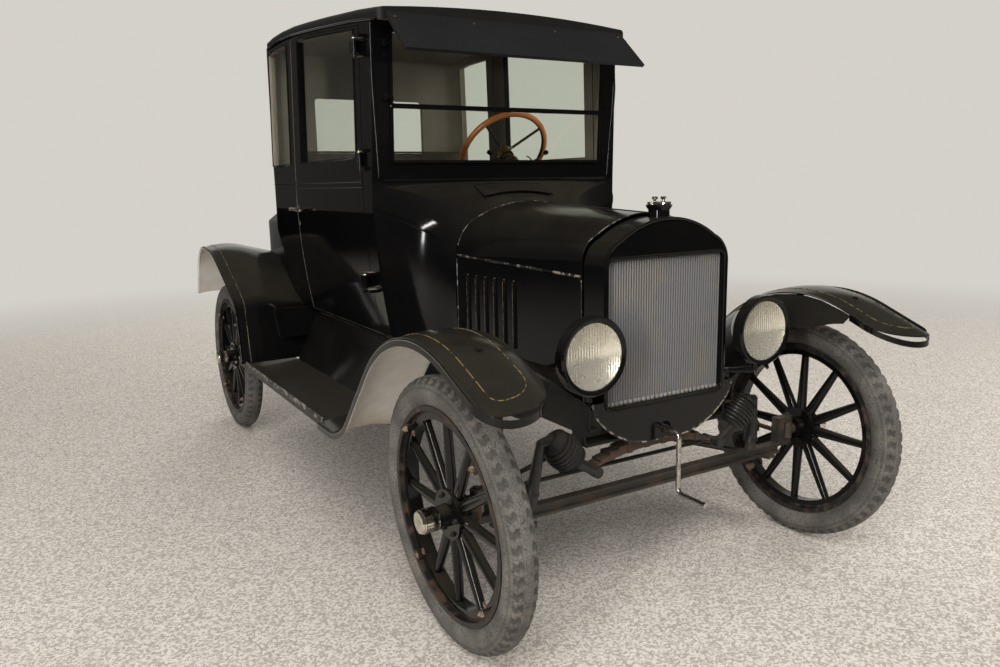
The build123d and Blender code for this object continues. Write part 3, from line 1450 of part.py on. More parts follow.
def main():
    os.makedirs("parts", exist_ok=True)
    wall = cab_wall()
    door, pane = door_parts(wall)
    top_leaf, side_leaf = hood_leaves()
    deck, lid = rear_deck()
    front_wheel = wheel(SPINDLE_RADIUS + 0.4, False)
    rear_wheel = wheel(REAR_SHAFT_RADIUS + 0.4, True)
    tyre_solid = tyre()
    places = (("front_left", 1, True), ("front_right", -1, True), ("rear_left", 1, False), ("rear_right", -1, False))
    for name, side, front in places:
        place = wheel_place(side, front)
        save(f"tyre_{name}", place * tyre_solid)
        save(f"wheel_{name}", place * (front_wheel if front else rear_wheel))
    left_knuckle = knuckle()
    save("knuckle_left", left_knuckle)
    save("knuckle_right", mirrored(left_knuckle))
    save("front_axle", front_axle())
    save("tie_rod", tie_rod())
    save("pitman_arm", pitman_arm())
    save("steering_column", steering_column())
    save("steering_wheel", steering_wheel())
    save("leaf_springs", front_spring(), rear_spring())
    save("shock_absorbers", *pair(shock()))
    save("chassis_frame", chassis_frame())
    save("rear_axle", rear_axle())
    save("engine", engine())
    save("exhaust", exhaust())
    save("radiator_shell", radiator_shell())
    save("radiator_core", radiator_core())
    save("radiator_cap", radiator_cap())
    for name, leaf in (("top", top_leaf), ("side", side_leaf)):
        save(f"hood_{name}_left", leaf)
        save(f"hood_{name}_right", mirrored(leaf))
    save("cowl", cowl())
    save("body_shell", body_shell(wall))
    save("roof", roof())
    for name, shape in (("door", door), ("door_glass", pane)):
        save(f"{name}_left", shape)
        save(f"{name}_right", mirrored(shape))
    save("fixed_glass", fixed_glass())
    save("body_floor", body_floor())
    save("seat", seat())
    save("rear_deck", deck)
    save("deck_lid", lid)
    save("visor", visor())
    save("front_fenders", *pair(front_fender()))
    save("rear_fenders", *pair(rear_fender()))
    save("splash_aprons", *pair(splash_apron()), *pair(fender_apron()))
    save("running_boards", *pair(running_board()))
    save("lamps", *pair(lamp()), tail_lamp())
    save("lamp_lenses", *pair(lens()))
    save("controls", controls())
    save("starting_crank", starting_crank())


main()
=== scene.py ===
# %% [markdown]
# # A closed black car of the 1920s
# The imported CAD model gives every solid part, joint and size. This notebook adds what a
# solid modeller leaves plain: paint, rust, glass, tread, beads, fins, upholstery and small
# fastenings. Everything is in metres, +Z up, the car faces -Y and its left is +X.

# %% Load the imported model
import math

import bmesh
import bpy
from mathutils import Matrix, Vector, noise
from mathutils.bvhtree import BVHTree


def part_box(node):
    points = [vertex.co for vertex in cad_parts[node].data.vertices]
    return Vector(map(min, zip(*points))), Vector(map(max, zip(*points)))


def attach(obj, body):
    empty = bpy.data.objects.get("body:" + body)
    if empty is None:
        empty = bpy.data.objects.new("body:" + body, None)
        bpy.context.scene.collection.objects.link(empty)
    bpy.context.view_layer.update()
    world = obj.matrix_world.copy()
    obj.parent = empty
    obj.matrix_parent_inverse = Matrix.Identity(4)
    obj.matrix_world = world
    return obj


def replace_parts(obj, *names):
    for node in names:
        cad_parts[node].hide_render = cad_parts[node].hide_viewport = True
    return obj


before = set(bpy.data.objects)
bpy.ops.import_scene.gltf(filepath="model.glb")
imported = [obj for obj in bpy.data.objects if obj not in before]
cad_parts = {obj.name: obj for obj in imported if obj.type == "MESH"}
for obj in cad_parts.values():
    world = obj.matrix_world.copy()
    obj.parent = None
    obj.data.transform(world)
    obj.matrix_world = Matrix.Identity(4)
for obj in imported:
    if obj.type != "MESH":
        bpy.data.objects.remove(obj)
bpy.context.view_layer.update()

# %% [markdown]
# ## Camera
# The camera stands front right of the car, at the height of the belt line, looking slightly
# down. About 29 mm of focal length on a 36 mm sensor gives the near wheel its size.

# %% The photographer's camera
CAMERA_PLACE = (-1.65357, -3.13334, 1.27725)
YAW, PITCH, ROLL = (math.radians(a) for a in (30.591, -10.592, -1.089))
SENSOR_WIDTH, FOCAL_SHARE = 36.0, 0.80143

forward = Vector((math.sin(YAW) * math.cos(PITCH), math.cos(YAW) * math.cos(PITCH), math.sin(PITCH)))
level = Vector((math.cos(YAW), -math.sin(YAW), 0))
above = level.cross(forward)
right = level * math.cos(ROLL) + above * math.sin(ROLL)
up = above * math.cos(ROLL) - level * math.sin(ROLL)
camera = bpy.data.objects.new("camera", bpy.data.cameras.new("camera"))
camera.data.sensor_width = SENSOR_WIDTH
camera.data.lens = SENSOR_WIDTH * FOCAL_SHARE
view = Matrix([[right[i], up[i], -forward[i]] for i in range(3)]).to_4x4()
camera.matrix_world = Matrix.Translation(CAMERA_PLACE) @ view
bpy.context.collection.objects.link(camera)
bpy.context.scene.camera = camera
bpy.context.scene.view_settings.view_transform = "Standard"
print("lens", round(camera.data.lens, 2))

# %% [markdown]
# ## Shader arithmetic
# Sums read better as formulas than as a web of nodes. `Wire` wraps one socket and turns
# +, -, * and / into Math nodes, `Nodes` adds any node by type, and `Paint` is a material.

# %% Wires, nodes and paints
class Wire:
    """The value of one socket, so that sums of values read as arithmetic."""

    def __init__(self, nodes, socket):
        self.nodes, self.socket = nodes, socket

    def __add__(self, other):
        return self.nodes.sum("ADD", self, other)

    __radd__ = __add__

    def __sub__(self, other):
        return self.nodes.sum("SUBTRACT", self, other)

    def __rsub__(self, other):
        return self.nodes.sum("SUBTRACT", other, self)

    def __mul__(self, other):
        return self.nodes.sum("MULTIPLY", self, other)

    __rmul__ = __mul__

    def __truediv__(self, other):
        return self.nodes.sum("DIVIDE", self, other)

    def step(self, low, high):
        """0 below low, 1 above high, and smooth between them."""
        sockets = {"Value": self, "From Min": low, "From Max": high}
        return self.nodes.node("MapRange", {"interpolation_type": "SMOOTHSTEP"}, sockets)


class Nodes:
    """A node tree, and one method that adds any node to it."""

    def __init__(self, tree):
        self.tree = tree

    def node(self, kind, settings=None, sockets=None, out=0):
        node = self.tree.nodes.new("ShaderNode" + kind)
        for setting, value in (settings or {}).items():
            setattr(node, setting, value)
        for socket, value in (sockets or {}).items():
            self.feed(node.inputs[socket], value)
        return Wire(self, node.outputs[out])

    def feed(self, socket, value):
        if isinstance(value, Wire):
            self.tree.links.new(value.socket, socket)
        elif socket.type == "RGBA" and len(value) == 3:
            socket.default_value = (*value, 1)
        else:
            socket.default_value = value

    def sum(self, operation, *values):
        return self.node("Math", {"operation": operation}, dict(enumerate(values)))

    def vector(self, operation, *values, out=0):
        return self.node("VectorMath", {"operation": operation}, dict(enumerate(values)), out)

    def mix(self, first, second, share):
        return self.node("Mix", {"data_type": "RGBA"}, {0: share, 6: first, 7: second}, out=2)


class Paint(Nodes):
    """One material: its shader and its coordinates."""

    def __init__(self, name, **sockets):
        self.material = bpy.data.materials.new(name)
        self.material.use_nodes = True
        super().__init__(self.material.node_tree)
        self.shader = self.tree.nodes["Principled BSDF"]
        self.point = self.node("TexCoord", out="Object")
        self.normal = self.node("TexCoord", out="Normal")
        for socket, value in sockets.items():
            self.set(socket.replace("_", " "), value)

    def set(self, socket, value):
        self.feed(self.shader.inputs[socket], value)

    def axis(self, vector, index):
        return self.node("SeparateXYZ", None, {0: vector}, out=index)

    def stretched(self, scale):
        return self.vector("MULTIPLY", self.point, scale)

    def noise(self, scale, detail=3.0, at=None):
        return self.node("TexNoise", None, {"Vector": at or self.point, "Scale": scale, "Detail": detail})

    def finish(self, colour, roughness, height, strength, distance):
        """Sets colour, roughness and a bump, and gives the material."""
        self.set("Base Color", colour)
        self.set("Roughness", roughness)
        sockets = {"Height": height, "Strength": strength, "Distance": distance}
        self.set("Normal", self.node("Bump", None, sockets))
        return self.material

    def cover(self, colour, roughness, share):
        """Lays a second finish over the first, as far as share goes."""
        inputs = [self.shader.inputs[name] for name in ("Base Color", "Roughness")]
        under, gloss = [Wire(self, socket.links[0].from_socket) for socket in inputs]
        self.set("Base Color", self.mix(under, colour, share))
        self.set("Roughness", gloss * (1 - share) + share * roughness)
        return self.material


print("shader helpers ready")

# %% [markdown]
# ## Black enamel
# The baked black enamel still mirrors the room a century later. The flat panels have slight
# waves, and dust lies where the surface's own normal points up, broken by a cloud of noise.

# %% Enamel on body, fenders and lamps
BLACK, DUST = (0.0022, 0.0022, 0.0026), (0.085, 0.075, 0.052)
# The underside's road grey is paler than its own tone: painted light on a side that lies in shade.
ROAD_GREY_AND_PAINTED_LIGHT = (0.50, 0.475, 0.43), (0.72, 0.70, 0.65)
LINING = (0.15, 0.125, 0.105), (0.24, 0.205, 0.175)
CAB_MIDDLE = (0, 0.35, 1.35)
DULL = 0.85


def enamel(name, dust, gloss=0.06):
    paint = Paint(name, Specular_IOR_Level=0.28)
    cloud = paint.noise(2.6, 5).step(0.3, 0.75)
    speck = paint.noise(240, 2)
    facing_up = paint.axis(paint.normal, 2).step(0.15, 1.0)
    haze = (facing_up * 0.8 + 0.08) * (cloud * 0.7 + 0.3) * dust
    colour = paint.mix(BLACK, DUST, haze * (speck * 0.5 + 0.55))
    paint.finish(colour, haze * 0.5 + speck * 0.03 + gloss, paint.noise(9, 3), 0.06, 0.004)
    return paint


def lined(paint):
    """Adds a cloth lining on the faces that look towards the middle of the cab."""
    from_middle = paint.vector("SUBTRACT", paint.point, CAB_MIDDLE)
    flat = paint.vector("MULTIPLY", from_middle, (1, 1, 0.6))
    outward = paint.vector("DOT_PRODUCT", paint.normal, flat, out=1)
    inside = (0 - outward).step(0.12, 0.22)
    return paint.cover(paint.mix(*LINING, paint.noise(9, 5)), DULL, inside)


def fender_enamel():
    """Glossy on top; road-grey and rusty on the underside, its grey made paler as painted light."""
    paint = enamel("fender_enamel", 0.36)
    below = (0 - paint.axis(paint.normal, 2)).step(0.02, 0.25)
    patch = paint.noise(7, 6).step(0.4, 0.66)
    low = 1 - paint.axis(paint.point, 2).step(0.47, 0.60)
    # Painted light: this grey is lighter than road dirt alone, though the underside lies in shade.
    grey = paint.mix(*ROAD_GREY_AND_PAINTED_LIGHT, paint.noise(18, 6))
    rusty = (patch * 0.22 + low * 0.8) * paint.noise(40, 4)
    return paint.cover(paint.mix(grey, (0.34, 0.17, 0.075), rusty), DULL, below)


body_enamel = enamel("body_enamel", 0.25).material
hood_enamel = enamel("hood_enamel", 0.34, 0.08).material
cab_enamel = lined(enamel("cab_enamel", 0.25))
lamp_enamel = enamel("lamp_enamel", 0.3).material
frame_enamel = enamel("frame_enamel", 1.0, 0.35).material
fender_paint = fender_enamel()
print("enamel", BLACK, "dust", DUST)

# %% [markdown]
# ## Iron, rust and bright metal
# The axle, springs and steering iron carry grease, dust and rust. Rust gathers in blotches,
# so two noises of different scale choose its place.

# %% Worn iron, rusty springs, nickel and steel
def iron(name, base, rust, rust_share, roughness=0.55):
    paint = Paint(name, Metallic=0.15)
    blotch = paint.noise(14, 6).step(0.62 - rust_share * 0.4, 0.82 - rust_share * 0.4)
    fine = paint.noise(130, 5)
    facing_up = paint.axis(paint.normal, 2).step(0.2, 0.9)
    grimy = paint.mix(base, (0.10, 0.085, 0.065), facing_up * 0.5 * fine)
    colour = paint.mix(grimy, rust, blotch * (fine * 0.7 + 0.3))
    roughness = blotch * 0.25 + fine * 0.12 + roughness - 0.1
    return paint.finish(colour, roughness, fine + blotch * 0.6, 0.35, 0.0015)


def bright(name, colour, roughness, tarnish):
    paint = Paint(name, Metallic=1.0)
    cloud = paint.noise(38, 6).step(0.35, 0.8)
    colour = paint.mix(colour, tarnish, cloud * 0.6)
    return paint.finish(colour, cloud * 0.25 + roughness, paint.noise(300, 3), 0.1, 0.0006)


worn_iron = iron("worn_iron", (0.020, 0.018, 0.016), (0.085, 0.050, 0.032), 0.3)
rusty_iron = iron("rusty_iron", (0.040, 0.033, 0.028), (0.110, 0.066, 0.042), 0.6, 0.7)
greasy_iron = iron("greasy_iron", (0.020, 0.017, 0.014), (0.075, 0.052, 0.038), 0.35, 0.42)
black_iron = iron("black_iron", (0.012, 0.012, 0.012), (0.09, 0.06, 0.04), 0.1, 0.35)
nickel = bright("old_nickel", (0.72, 0.68, 0.60), 0.12, (0.36, 0.30, 0.22))
bare_steel = bright("bare_steel", (0.55, 0.53, 0.50), 0.24, (0.22, 0.18, 0.14))
brass = bright("worn_brass", (0.62, 0.46, 0.22), 0.2, (0.25, 0.17, 0.08))
print("metals ready")

# %% [markdown]
# ## Rubber and cloth
# The tyres are old grey rubber, crazed, with painted shade in the grooves. The seat is a worn
# grey-brown cloth, and the top and visor are coated fabric with a fine grain.

# %% Rubber and cloth
def rubber():
    paint = Paint("old_rubber", Specular_IOR_Level=0.35)
    cloud = paint.noise(11, 6)
    cells = {"Vector": paint.point, "Scale": 90}
    craze = paint.node("TexVoronoi", {"feature": "DISTANCE_TO_EDGE"}, cells)
    worn = paint.mix((0.075, 0.070, 0.065), (0.165, 0.154, 0.138), cloud.step(0.3, 0.8))
    # Painted shade: the colour darkens where the tread is sunk, read from a value kept on each point.
    painted_groove_shade = paint.node("Attribute", {"attribute_name": "painted_groove_shade"}, out="Fac")
    base = paint.mix(worn, (0.016, 0.015, 0.014), painted_groove_shade.step(0.05, 0.9) * 0.55)
    colour = paint.mix(base, (0.03, 0.028, 0.026), 1 - craze.step(0.0, 0.06))
    height = craze.step(0, 0.08) + paint.noise(400, 2)
    return paint.finish(colour, cloud * 0.2 + 0.62, height, 0.25, 0.0008)


def cloth(name, dark, light, weave, roughness=0.85):
    paint = Paint(name, Specular_IOR_Level=0.3)
    cloud = paint.noise(7, 5)
    threads = paint.noise(weave, 2, paint.stretched((1, 1, 4)))
    colour = paint.mix(dark, light, cloud * 0.6 + threads * 0.4)
    paint.finish(colour, threads * 0.12 + roughness - 0.06, threads, 0.35, 0.0008)
    return paint


old_rubber = rubber()
seat_cloth = cloth("seat_cloth", (0.055, 0.045, 0.036), (0.13, 0.11, 0.09), 260).material
roof_cloth = lined(cloth("roof_cloth", (0.004, 0.004, 0.004), (0.011, 0.0105, 0.010), 420, 0.5))
visor_cloth = cloth("visor_cloth", (0.006, 0.006, 0.0065), (0.015, 0.015, 0.016), 520, 0.55).material
floor_boards = cloth("floor_boards", (0.07, 0.045, 0.028), (0.16, 0.11, 0.07), 60, 0.8).material
print("rubber and cloth ready")

# %% [markdown]
# ## Glass
# A thin flat pane is a transparent shader mixed with a glossy one, more of it at a glancing
# angle. The share comes from Layer Weight, which treats both faces of a pane alike, and the
# cabin stays light.

# %% Window and lamp glass
def pane(name, tint, strength):
    paint = Paint(name, Roughness=0.02, Base_Color=(0.8, 0.82, 0.8))
    clear = paint.node("BsdfTransparent", None, {0: (*tint, 1)})
    glancing = paint.node("LayerWeight", None, {"Blend": 0.5}, out="Facing")
    squared = glancing * glancing
    edge = squared * squared * glancing * 0.7 + 0.035
    streak = paint.noise(3, 4, paint.stretched((1, 1, 0.3)))
    share = edge * strength * (streak * 0.5 + 0.75)
    glossy = Wire(paint, paint.shader.outputs[0])
    mixed = paint.node("MixShader", None, {0: share, 1: clear, 2: glossy})
    paint.feed(paint.tree.nodes["Material Output"].inputs[0], mixed)
    paint.set("Metallic", 1.0)
    return paint.material


window_glass = pane("window_glass", (0.93, 0.95, 0.92), 1.0)
lens_glass = pane("lens_glass", (0.97, 0.97, 0.94), 1.6)
print("glass ready")

# %% [markdown]
# ## Finishes of the small parts
# Edges that hands and stones touch lose their paint in broken streaks. One recipe serves
# them all: paint, bare metal, and a noise that decides which of the two is seen.

# %% Chipped edges, nuts, tubes, boards and wheels
AXLE_Y, TYRE_R = 1.27, 0.3875
STEERING_HUB = (0.300, 0.105, 1.418)


def chipped(name, paint_colour, bare, share, scale, metallic=0.5, roughness=0.4):
    paint = Paint(name)
    bits = paint.noise(scale, 6).step(0.62 - share * 0.25, 0.70 - share * 0.25)
    fine = paint.noise(210, 4)
    paint.set("Metallic", bits * metallic)
    colour = paint.mix(paint_colour, bare, bits * (fine * 0.6 + 0.5))
    return paint.finish(colour, fine * 0.2 + roughness - bits * 0.05, bits, 0.3, 0.0006)


def brick_plate():
    """Pressed steel with rows of small raised bricks, dusty between them."""
    paint = Paint("brick_plate")
    bricks = {"Vector": paint.point, "Scale": 1.0, "Brick Width": 0.030, "Row Height": 0.013}
    joints = {"Mortar Size": 0.0022, "Mortar Smooth": 0.3}
    pattern = paint.node("TexBrick", {"offset": 0.5}, {**bricks, **joints}, out=1)
    facing_up = paint.axis(paint.normal, 2).step(0.3, 0.9)
    dust = pattern * 0.7 + paint.noise(12, 5) * 0.5
    colour = paint.mix((0.006, 0.006, 0.006), (0.042, 0.036, 0.028), dust * facing_up)
    return paint.finish(colour, dust * 0.3 + 0.3, (1 - pattern) * facing_up, 1.0, 0.003)


def by_distance(name, centre, rings):
    """One finish for a turned part: each ring is (radius, colour, metallic, roughness)."""
    paint = Paint(name)
    away = paint.vector("DISTANCE", paint.point, centre, out=1)
    fine = paint.noise(60, 5)
    _, colour, metallic, roughness = rings[0]
    for radius, shade, metal, rough in rings[1:]:
        here = away.step(radius - 0.001, radius + 0.001)
        colour = paint.mix(colour, shade, here)
        metallic = here * metal + (1 - here) * metallic
        roughness = here * rough + (1 - here) * roughness
    paint.set("Metallic", metallic)
    colour = paint.mix(colour, (0.03, 0.02, 0.012), fine.step(0.55, 0.8) * 0.6)
    return paint.finish(colour, roughness + fine * 0.15, fine, 0.1, 0.001)


def wheel_finish():
    """Black spokes and hub, and a steel rim with rust in its corners."""
    paint = enamel("wheel_finish", 0.5, 0.10)
    along = paint.sum("ABSOLUTE", paint.axis(paint.point, 1)) - AXLE_Y
    high = paint.axis(paint.point, 2) - TYRE_R
    away = paint.sum("SQRT", along * along + high * high)
    rust = paint.noise(34, 6).step(0.42, 0.66)
    steel = paint.mix((0.010, 0.010, 0.010), (0.055, 0.036, 0.026), rust)
    return paint.cover(steel, rust * 0.3 + 0.4, away.step(0.281, 0.283))


worn_edge = chipped("worn_edge", (0.012, 0.011, 0.010), (0.40, 0.36, 0.30), 0.45, 46)
# The same gold line serves the faded lining on the fenders and, on the louver edges, a painted highlight.
gilt_and_highlight_line = chipped("gilt_and_highlight_line", (0.020, 0.016, 0.010), (0.26, 0.20, 0.10), 0.75, 70, 0.3)
tan_nuts = chipped("tan_nuts", (0.10, 0.062, 0.045), (0.30, 0.205, 0.155), 0.6, 90, 0.15, 0.6)
rib_grey = chipped("tube_ribs", (0.125, 0.125, 0.130), (0.165, 0.152, 0.135), 0.5, 6, 0.2, 0.40)
fin_grey = chipped("thin_fins", (0.085, 0.085, 0.087), (0.115, 0.105, 0.095), 0.5, 8, 0.3, 0.5)
foot_grey = chipped("scalloped_foot", (0.14, 0.14, 0.14), (0.36, 0.35, 0.32), 0.7, 80, 0.5, 0.4)
red_glass = chipped("red_lens", (0.16, 0.004, 0.003), (0.24, 0.012, 0.008), 0.5, 90, 0.0, 0.12)
brick_steel = brick_plate()
steering_finish = by_distance("steering_wheel_finish", STEERING_HUB, [
    (0, (0.42, 0.29, 0.12), 0.9, 0.2),
    (0.048, (0.014, 0.013, 0.012), 0.2, 0.35),
    # The rim's orange is brighter than its own tone: painted light that makes up for the shade inside the
    # cab.
    (0.196, (0.72, 0.235, 0.06), 0.0, 0.18),
])
wheel_wood = wheel_finish()
print("small finishes ready")

# %% [markdown]
# ## Gathering shapes
# Most trim is a section carried along a line, or a profile turned about an axis. `Shape`
# collects such pieces as plain vertices and faces and makes one mesh of them.

# %% Shape
FORWARD, REARWARD, UP, DOWN = (0, -1, 0), (0, 1, 0), (0, 0, 1), (0, 0, -1)
SIDES = ((1, "left"), (-1, "right"))
CORNERS = ("front_left", "front_right", "rear_left", "rear_right")


def turns(count):
    return [2 * math.pi * i / count for i in range(count)]


def steps(low, high, count):
    return [low + (high - low) * i / count for i in range(count + 1)]


def polar(radius, angle, height=0.0):
    return Vector((radius * math.cos(angle), radius * math.sin(angle), height))


def facing(place, direction):
    """A frame at place whose Z axis looks along direction."""
    return Matrix.Translation(place) @ Vector(direction).to_track_quat("Z", "Y").to_matrix().to_4x4()


def at_y(points, y):
    return [(x, y, z) for x, z in points]


def flat_bar(half_width, low, high):
    """The section of a flat bar, as (side, out)."""
    return [(-half_width, low), (-half_width, high), (half_width, high), (half_width, low)]


def outline(rows):
    """The points round the edge of a grid of points."""
    back = [row[0] for row in rows[::-1][1:-1]]
    return rows[0] + [row[-1] for row in rows[1:]] + rows[-1][::-1][1:] + back


class Shape:
    """Vertices and faces gathered bit by bit, then made into one piece."""

    def __init__(self):
        self.verts, self.faces = [], []

    def grid(self, rows, ring=False, loop=False, caps=False):
        """Joins rows of points with quads; ring closes each row, loop joins last to first."""
        start, width = len(self.verts), len(rows[0])
        self.verts += [tuple(p) for row in rows for p in row]
        for i in range(len(rows) if loop else len(rows) - 1):
            for j in range(width if ring else width - 1):
                a, b = start + i * width, start + (i + 1) % len(rows) * width
                k = (j + 1) % width
                self.faces.append((a + j, a + k, b + k, b + j))
        if caps:
            self.faces.append(tuple(range(start + width - 1, start - 1, -1)))
            last = start + (len(rows) - 1) * width
            self.faces.append(tuple(range(last, last + width)))

    def sweep(self, points, section, hold, closed=False):
        """Carries a closed section (side, out) along points; hold is the side direction."""
        points, hold, rows = [Vector(p) for p in points], Vector(hold), []
        for i, p in enumerate(points):
            before = points[i - 1] if i or closed else p
            after = points[(i + 1) % len(points)] if i + 1 < len(points) or closed else p
            run = (after - before).normalized()
            side = (hold - run * hold.dot(run)).normalized()
            out = side.cross(run)
            rows.append([p + side * a + out * b for a, b in section])
        self.grid(rows, ring=True, loop=closed, caps=not closed)

    def tube(self, points, radius, sides=8, hold=(0.31, 0.17, 0.93), closed=False):
        circle = [(radius * math.cos(a), radius * math.sin(a)) for a in turns(sides)]
        self.sweep(points, circle, hold, closed)

    def lathe(self, profile, place, sides=32):
        """Turns (radius, height) about the local Z of place."""
        self.grid([[place @ polar(r, a, h) for a in turns(sides)] for r, h in profile], ring=True, caps=True)

    def box(self, low, high, place=Matrix.Identity(4)):
        (x0, y0, z0), (x1, y1, z1) = low, high
        rows = [[(x, y, z) for x, y in ((x0, y0), (x1, y0), (x1, y1), (x0, y1))] for z in (z0, z1)]
        self.grid([[place @ Vector(p) for p in row] for row in rows], ring=True, caps=True)

    def build(self, name, material, sharp=40):
        mesh = bpy.data.meshes.new(name)
        mesh.from_pydata(self.verts, [], self.faces)
        mesh.materials.append(material)
        mesh.shade_smooth()
        mesh.set_sharp_from_angle(angle=math.radians(sharp))
        piece = bpy.data.objects.new(name, mesh)
        bpy.context.collection.objects.link(piece)
        return piece

    def make(self, name, material, slot="body_black", body="car", sharp=40):
        """One piece that rides on a body and takes the given material as its finish; slot is not used."""
        piece = self.build(name, material, sharp)
        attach(piece, body)
        return piece


print("shape helper ready")

# %% [markdown]
# ## Finishes on the CAD nodes
# The solids that already have the right shape keep it and get their finish here.

# %% Dress the solids
FINISH = (
    (frame_enamel, "chassis_frame"),
    (greasy_iron, "front_axle"),
    (rusty_iron, "leaf_springs exhaust knuckle_left knuckle_right"),
    (black_iron, "shock_absorbers radiator_cap steering_column controls"),
    (worn_iron, "rear_axle engine pitman_arm tie_rod"),
    (bare_steel, "starting_crank"),
    (fin_grey, "radiator_core"),
    (hood_enamel, "radiator_shell cowl splash_aprons"),
    (hood_enamel, "hood_top_left hood_top_right hood_side_left hood_side_right"),
    (cab_enamel, "body_shell door_left door_right"),
    (body_enamel, "rear_deck deck_lid"),
    (fender_paint, "front_fenders rear_fenders"),
    (brick_steel, "running_boards"),
    (roof_cloth, "roof"),
    (visor_cloth, "visor"),
    (floor_boards, "body_floor"),
    (seat_cloth, "seat"),
    (window_glass, "fixed_glass door_glass_left door_glass_right"),
    (lamp_enamel, "lamps"),
    (lens_glass, "lamp_lenses"),
    (steering_finish, "steering_wheel"),
    (old_rubber, " ".join("tyre_" + corner for corner in CORNERS)),
    (wheel_wood, " ".join("wheel_" + corner for corner in CORNERS)),
)
dressed = [(node, material) for material, nodes in FINISH for node in nodes.split()]
for node, material in dressed:
    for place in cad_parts[node].material_slots:
        place.material = material
print("dressed", len(dressed))

# %% [markdown]
# ## Landing on the CAD surface
# Trim lies exactly on the panel that carries it. `touch` sends a line at one CAD node and
# gives the point where it lands. `trace` does so for a row of lines and drops those that
# miss, so a bead stops where its panel stops.

# %% Lines that land on a node
skins = {}


def touch(node, start, direction):
    if node not in skins:
        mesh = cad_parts[node].data
        faces = [polygon.vertices for polygon in mesh.polygons]
        skins[node] = BVHTree.FromPolygons([vertex.co for vertex in mesh.vertices], faces)
    place, normal, _, _ = skins[node].ray_cast(Vector(start), Vector(direction).normalized())
    return (place, normal) if place else (None, None)


def trace(node, starts, direction, lift=0.0):
    """Points where parallel lines land on a node, moved off the surface by lift."""
    landed = [touch(node, start, direction) for start in starts]
    return [place + normal * lift for place, normal in landed if place]


def arc(a, b, c, count=10):
    """Points on the circle through three points of a plane, from a to c."""
    (ax, ay), (bx, by), (cx, cy) = a, b, c
    d = 2 * (ax * (by - cy) + bx * (cy - ay) + cx * (ay - by))
    sa, sb, sc = ax * ax + ay * ay, bx * bx + by * by, cx * cx + cy * cy
    x = (sa * (by - cy) + sb * (cy - ay) + sc * (ay - by)) / d
    y = (sa * (cx - bx) + sb * (ax - cx) + sc * (bx - ax)) / d
    angles = [math.atan2(q - y, p - x) for p, q in (a, b, c)]
    for i in (1, 2):
        while angles[i] - angles[i - 1] > math.pi:
            angles[i] -= 2 * math.pi
        while angles[i] - angles[i - 1] < -math.pi:
            angles[i] += 2 * math.pi
    r = math.hypot(ax - x, ay - y)
    return [(x + r * math.cos(t), y + r * math.sin(t)) for t in steps(angles[0], angles[2], count)]


def rounded_loop(low, high, r, count=5):
    """A closed rectangle in a plane with rounded corners."""
    (x0, y0), (x1, y1) = low, high
    corners = ((x1 - r, y0 + r, -0.5), (x1 - r, y1 - r, 0), (x0 + r, y1 - r, 0.5), (x0 + r, y0 + r, 1))
    bends = [(x, y, math.pi * (q + t / 2)) for x, y, q in corners for t in steps(0, 1, count)]
    return [(x + r * math.cos(a), y + r * math.sin(a)) for x, y, a in bends]


print("landing helpers ready")

# %% [markdown]
# ## Radiator
# From the front the water tubes read as close upright ribs, and the fins as fine level
# lines. Each rib is a half-round carried up the face, with thin plates behind its nose.

# %% Core: ribs, fins and the scalloped foot
RIBS, RIB_PROUD, FINS, SCALLOPS = 47, 0.0042, 96, 26
RIB_NOSE = [(-0.36, 0.0), (-0.3, 0.6), (-0.12, 0.95), (0.12, 0.95), (0.3, 0.6), (0.36, 0.0)]
SCALLOP = [(0.0078, -0.001), (0.0072, 0.0035), (0.0045, 0.0058), (0.0006, 0.0066)]

(core_x, core_y, core_z), (core_end, _, core_top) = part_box("radiator_core")
pitch = (core_end - core_x) / RIBS
nose = [(a * pitch, b * RIB_PROUD) for a, b in RIB_NOSE]
ribs, fins, scallops = Shape(), Shape(), Shape()
for i in range(RIBS):
    x = core_x + (i + 0.5) * pitch
    ribs.sweep([(x, core_y, core_z + 0.012), (x, core_y, core_top - 0.004)], nose, (1, 0, 0))
for z in steps(core_z + 0.016, core_top - 0.008, FINS):
    fins.box((core_x + 0.003, core_y - 0.0026, z), (core_end - 0.003, core_y, z + 0.0011))
for i in range(SCALLOPS):
    x = core_x + (i + 0.5) * (core_end - core_x) / SCALLOPS
    scallops.lathe(SCALLOP, facing((x, core_y - 0.001, core_z + 0.009), FORWARD), 12)
ribs.make("radiator_ribs", rib_grey, "radiator_grey")
fins.make("radiator_fin_plates", fin_grey, "radiator_grey")
scallops.make("radiator_scallops", foot_grey, "radiator_grey")
print("ribs", RIBS, "pitch mm", round(pitch * 1000, 2))

# %% [markdown]
# ## Radiator shell
# The shell's front edge is rolled over a wire, and a raised bead frames the opening. Both
# are round rods, half sunk. The arch goes through the same points as the solid: a point on
# the shoulder's bend, a corner and the crown.

# %% Shell beads and the cap
SHELL_HALF, SHELL_TOP, SHELL_FOOT, SHELL_Y = 0.244, 1.172, 0.646, -1.335
CORNER, BEND, SIDE = (0.775, 0.060), (0.926, 0.087), 0.133
APRON_FOOT, *APRON_BEND = (0.282, 0.640), (0.272, 0.603), (0.198, 0.534), (0.0, 0.496)
CAP_PLACE, CAP_FLUTES = (0, -1.2875, 1.190), 30
CAP_NECK = [(0.033, -0.022), (0.030, -0.012), (0.031, 0.0), (0.038, 0.010), (0.040, 0.0165), (0.036, 0.0175)]
CAP_DISC = [(0.026, 0.0165, 0), (0.034, 0.018, 0.03), (0.034, 0.025, 0.03), (0.022, 0.0275, 0),
            (0.001, 0.028, 0)]
CAP_KNOB = [(0.004, 0), (0.004, 0.004), (0.0085, 0.0065), (0.0095, 0.010), (0.0075, 0.0135), (0.001, 0.0147)]


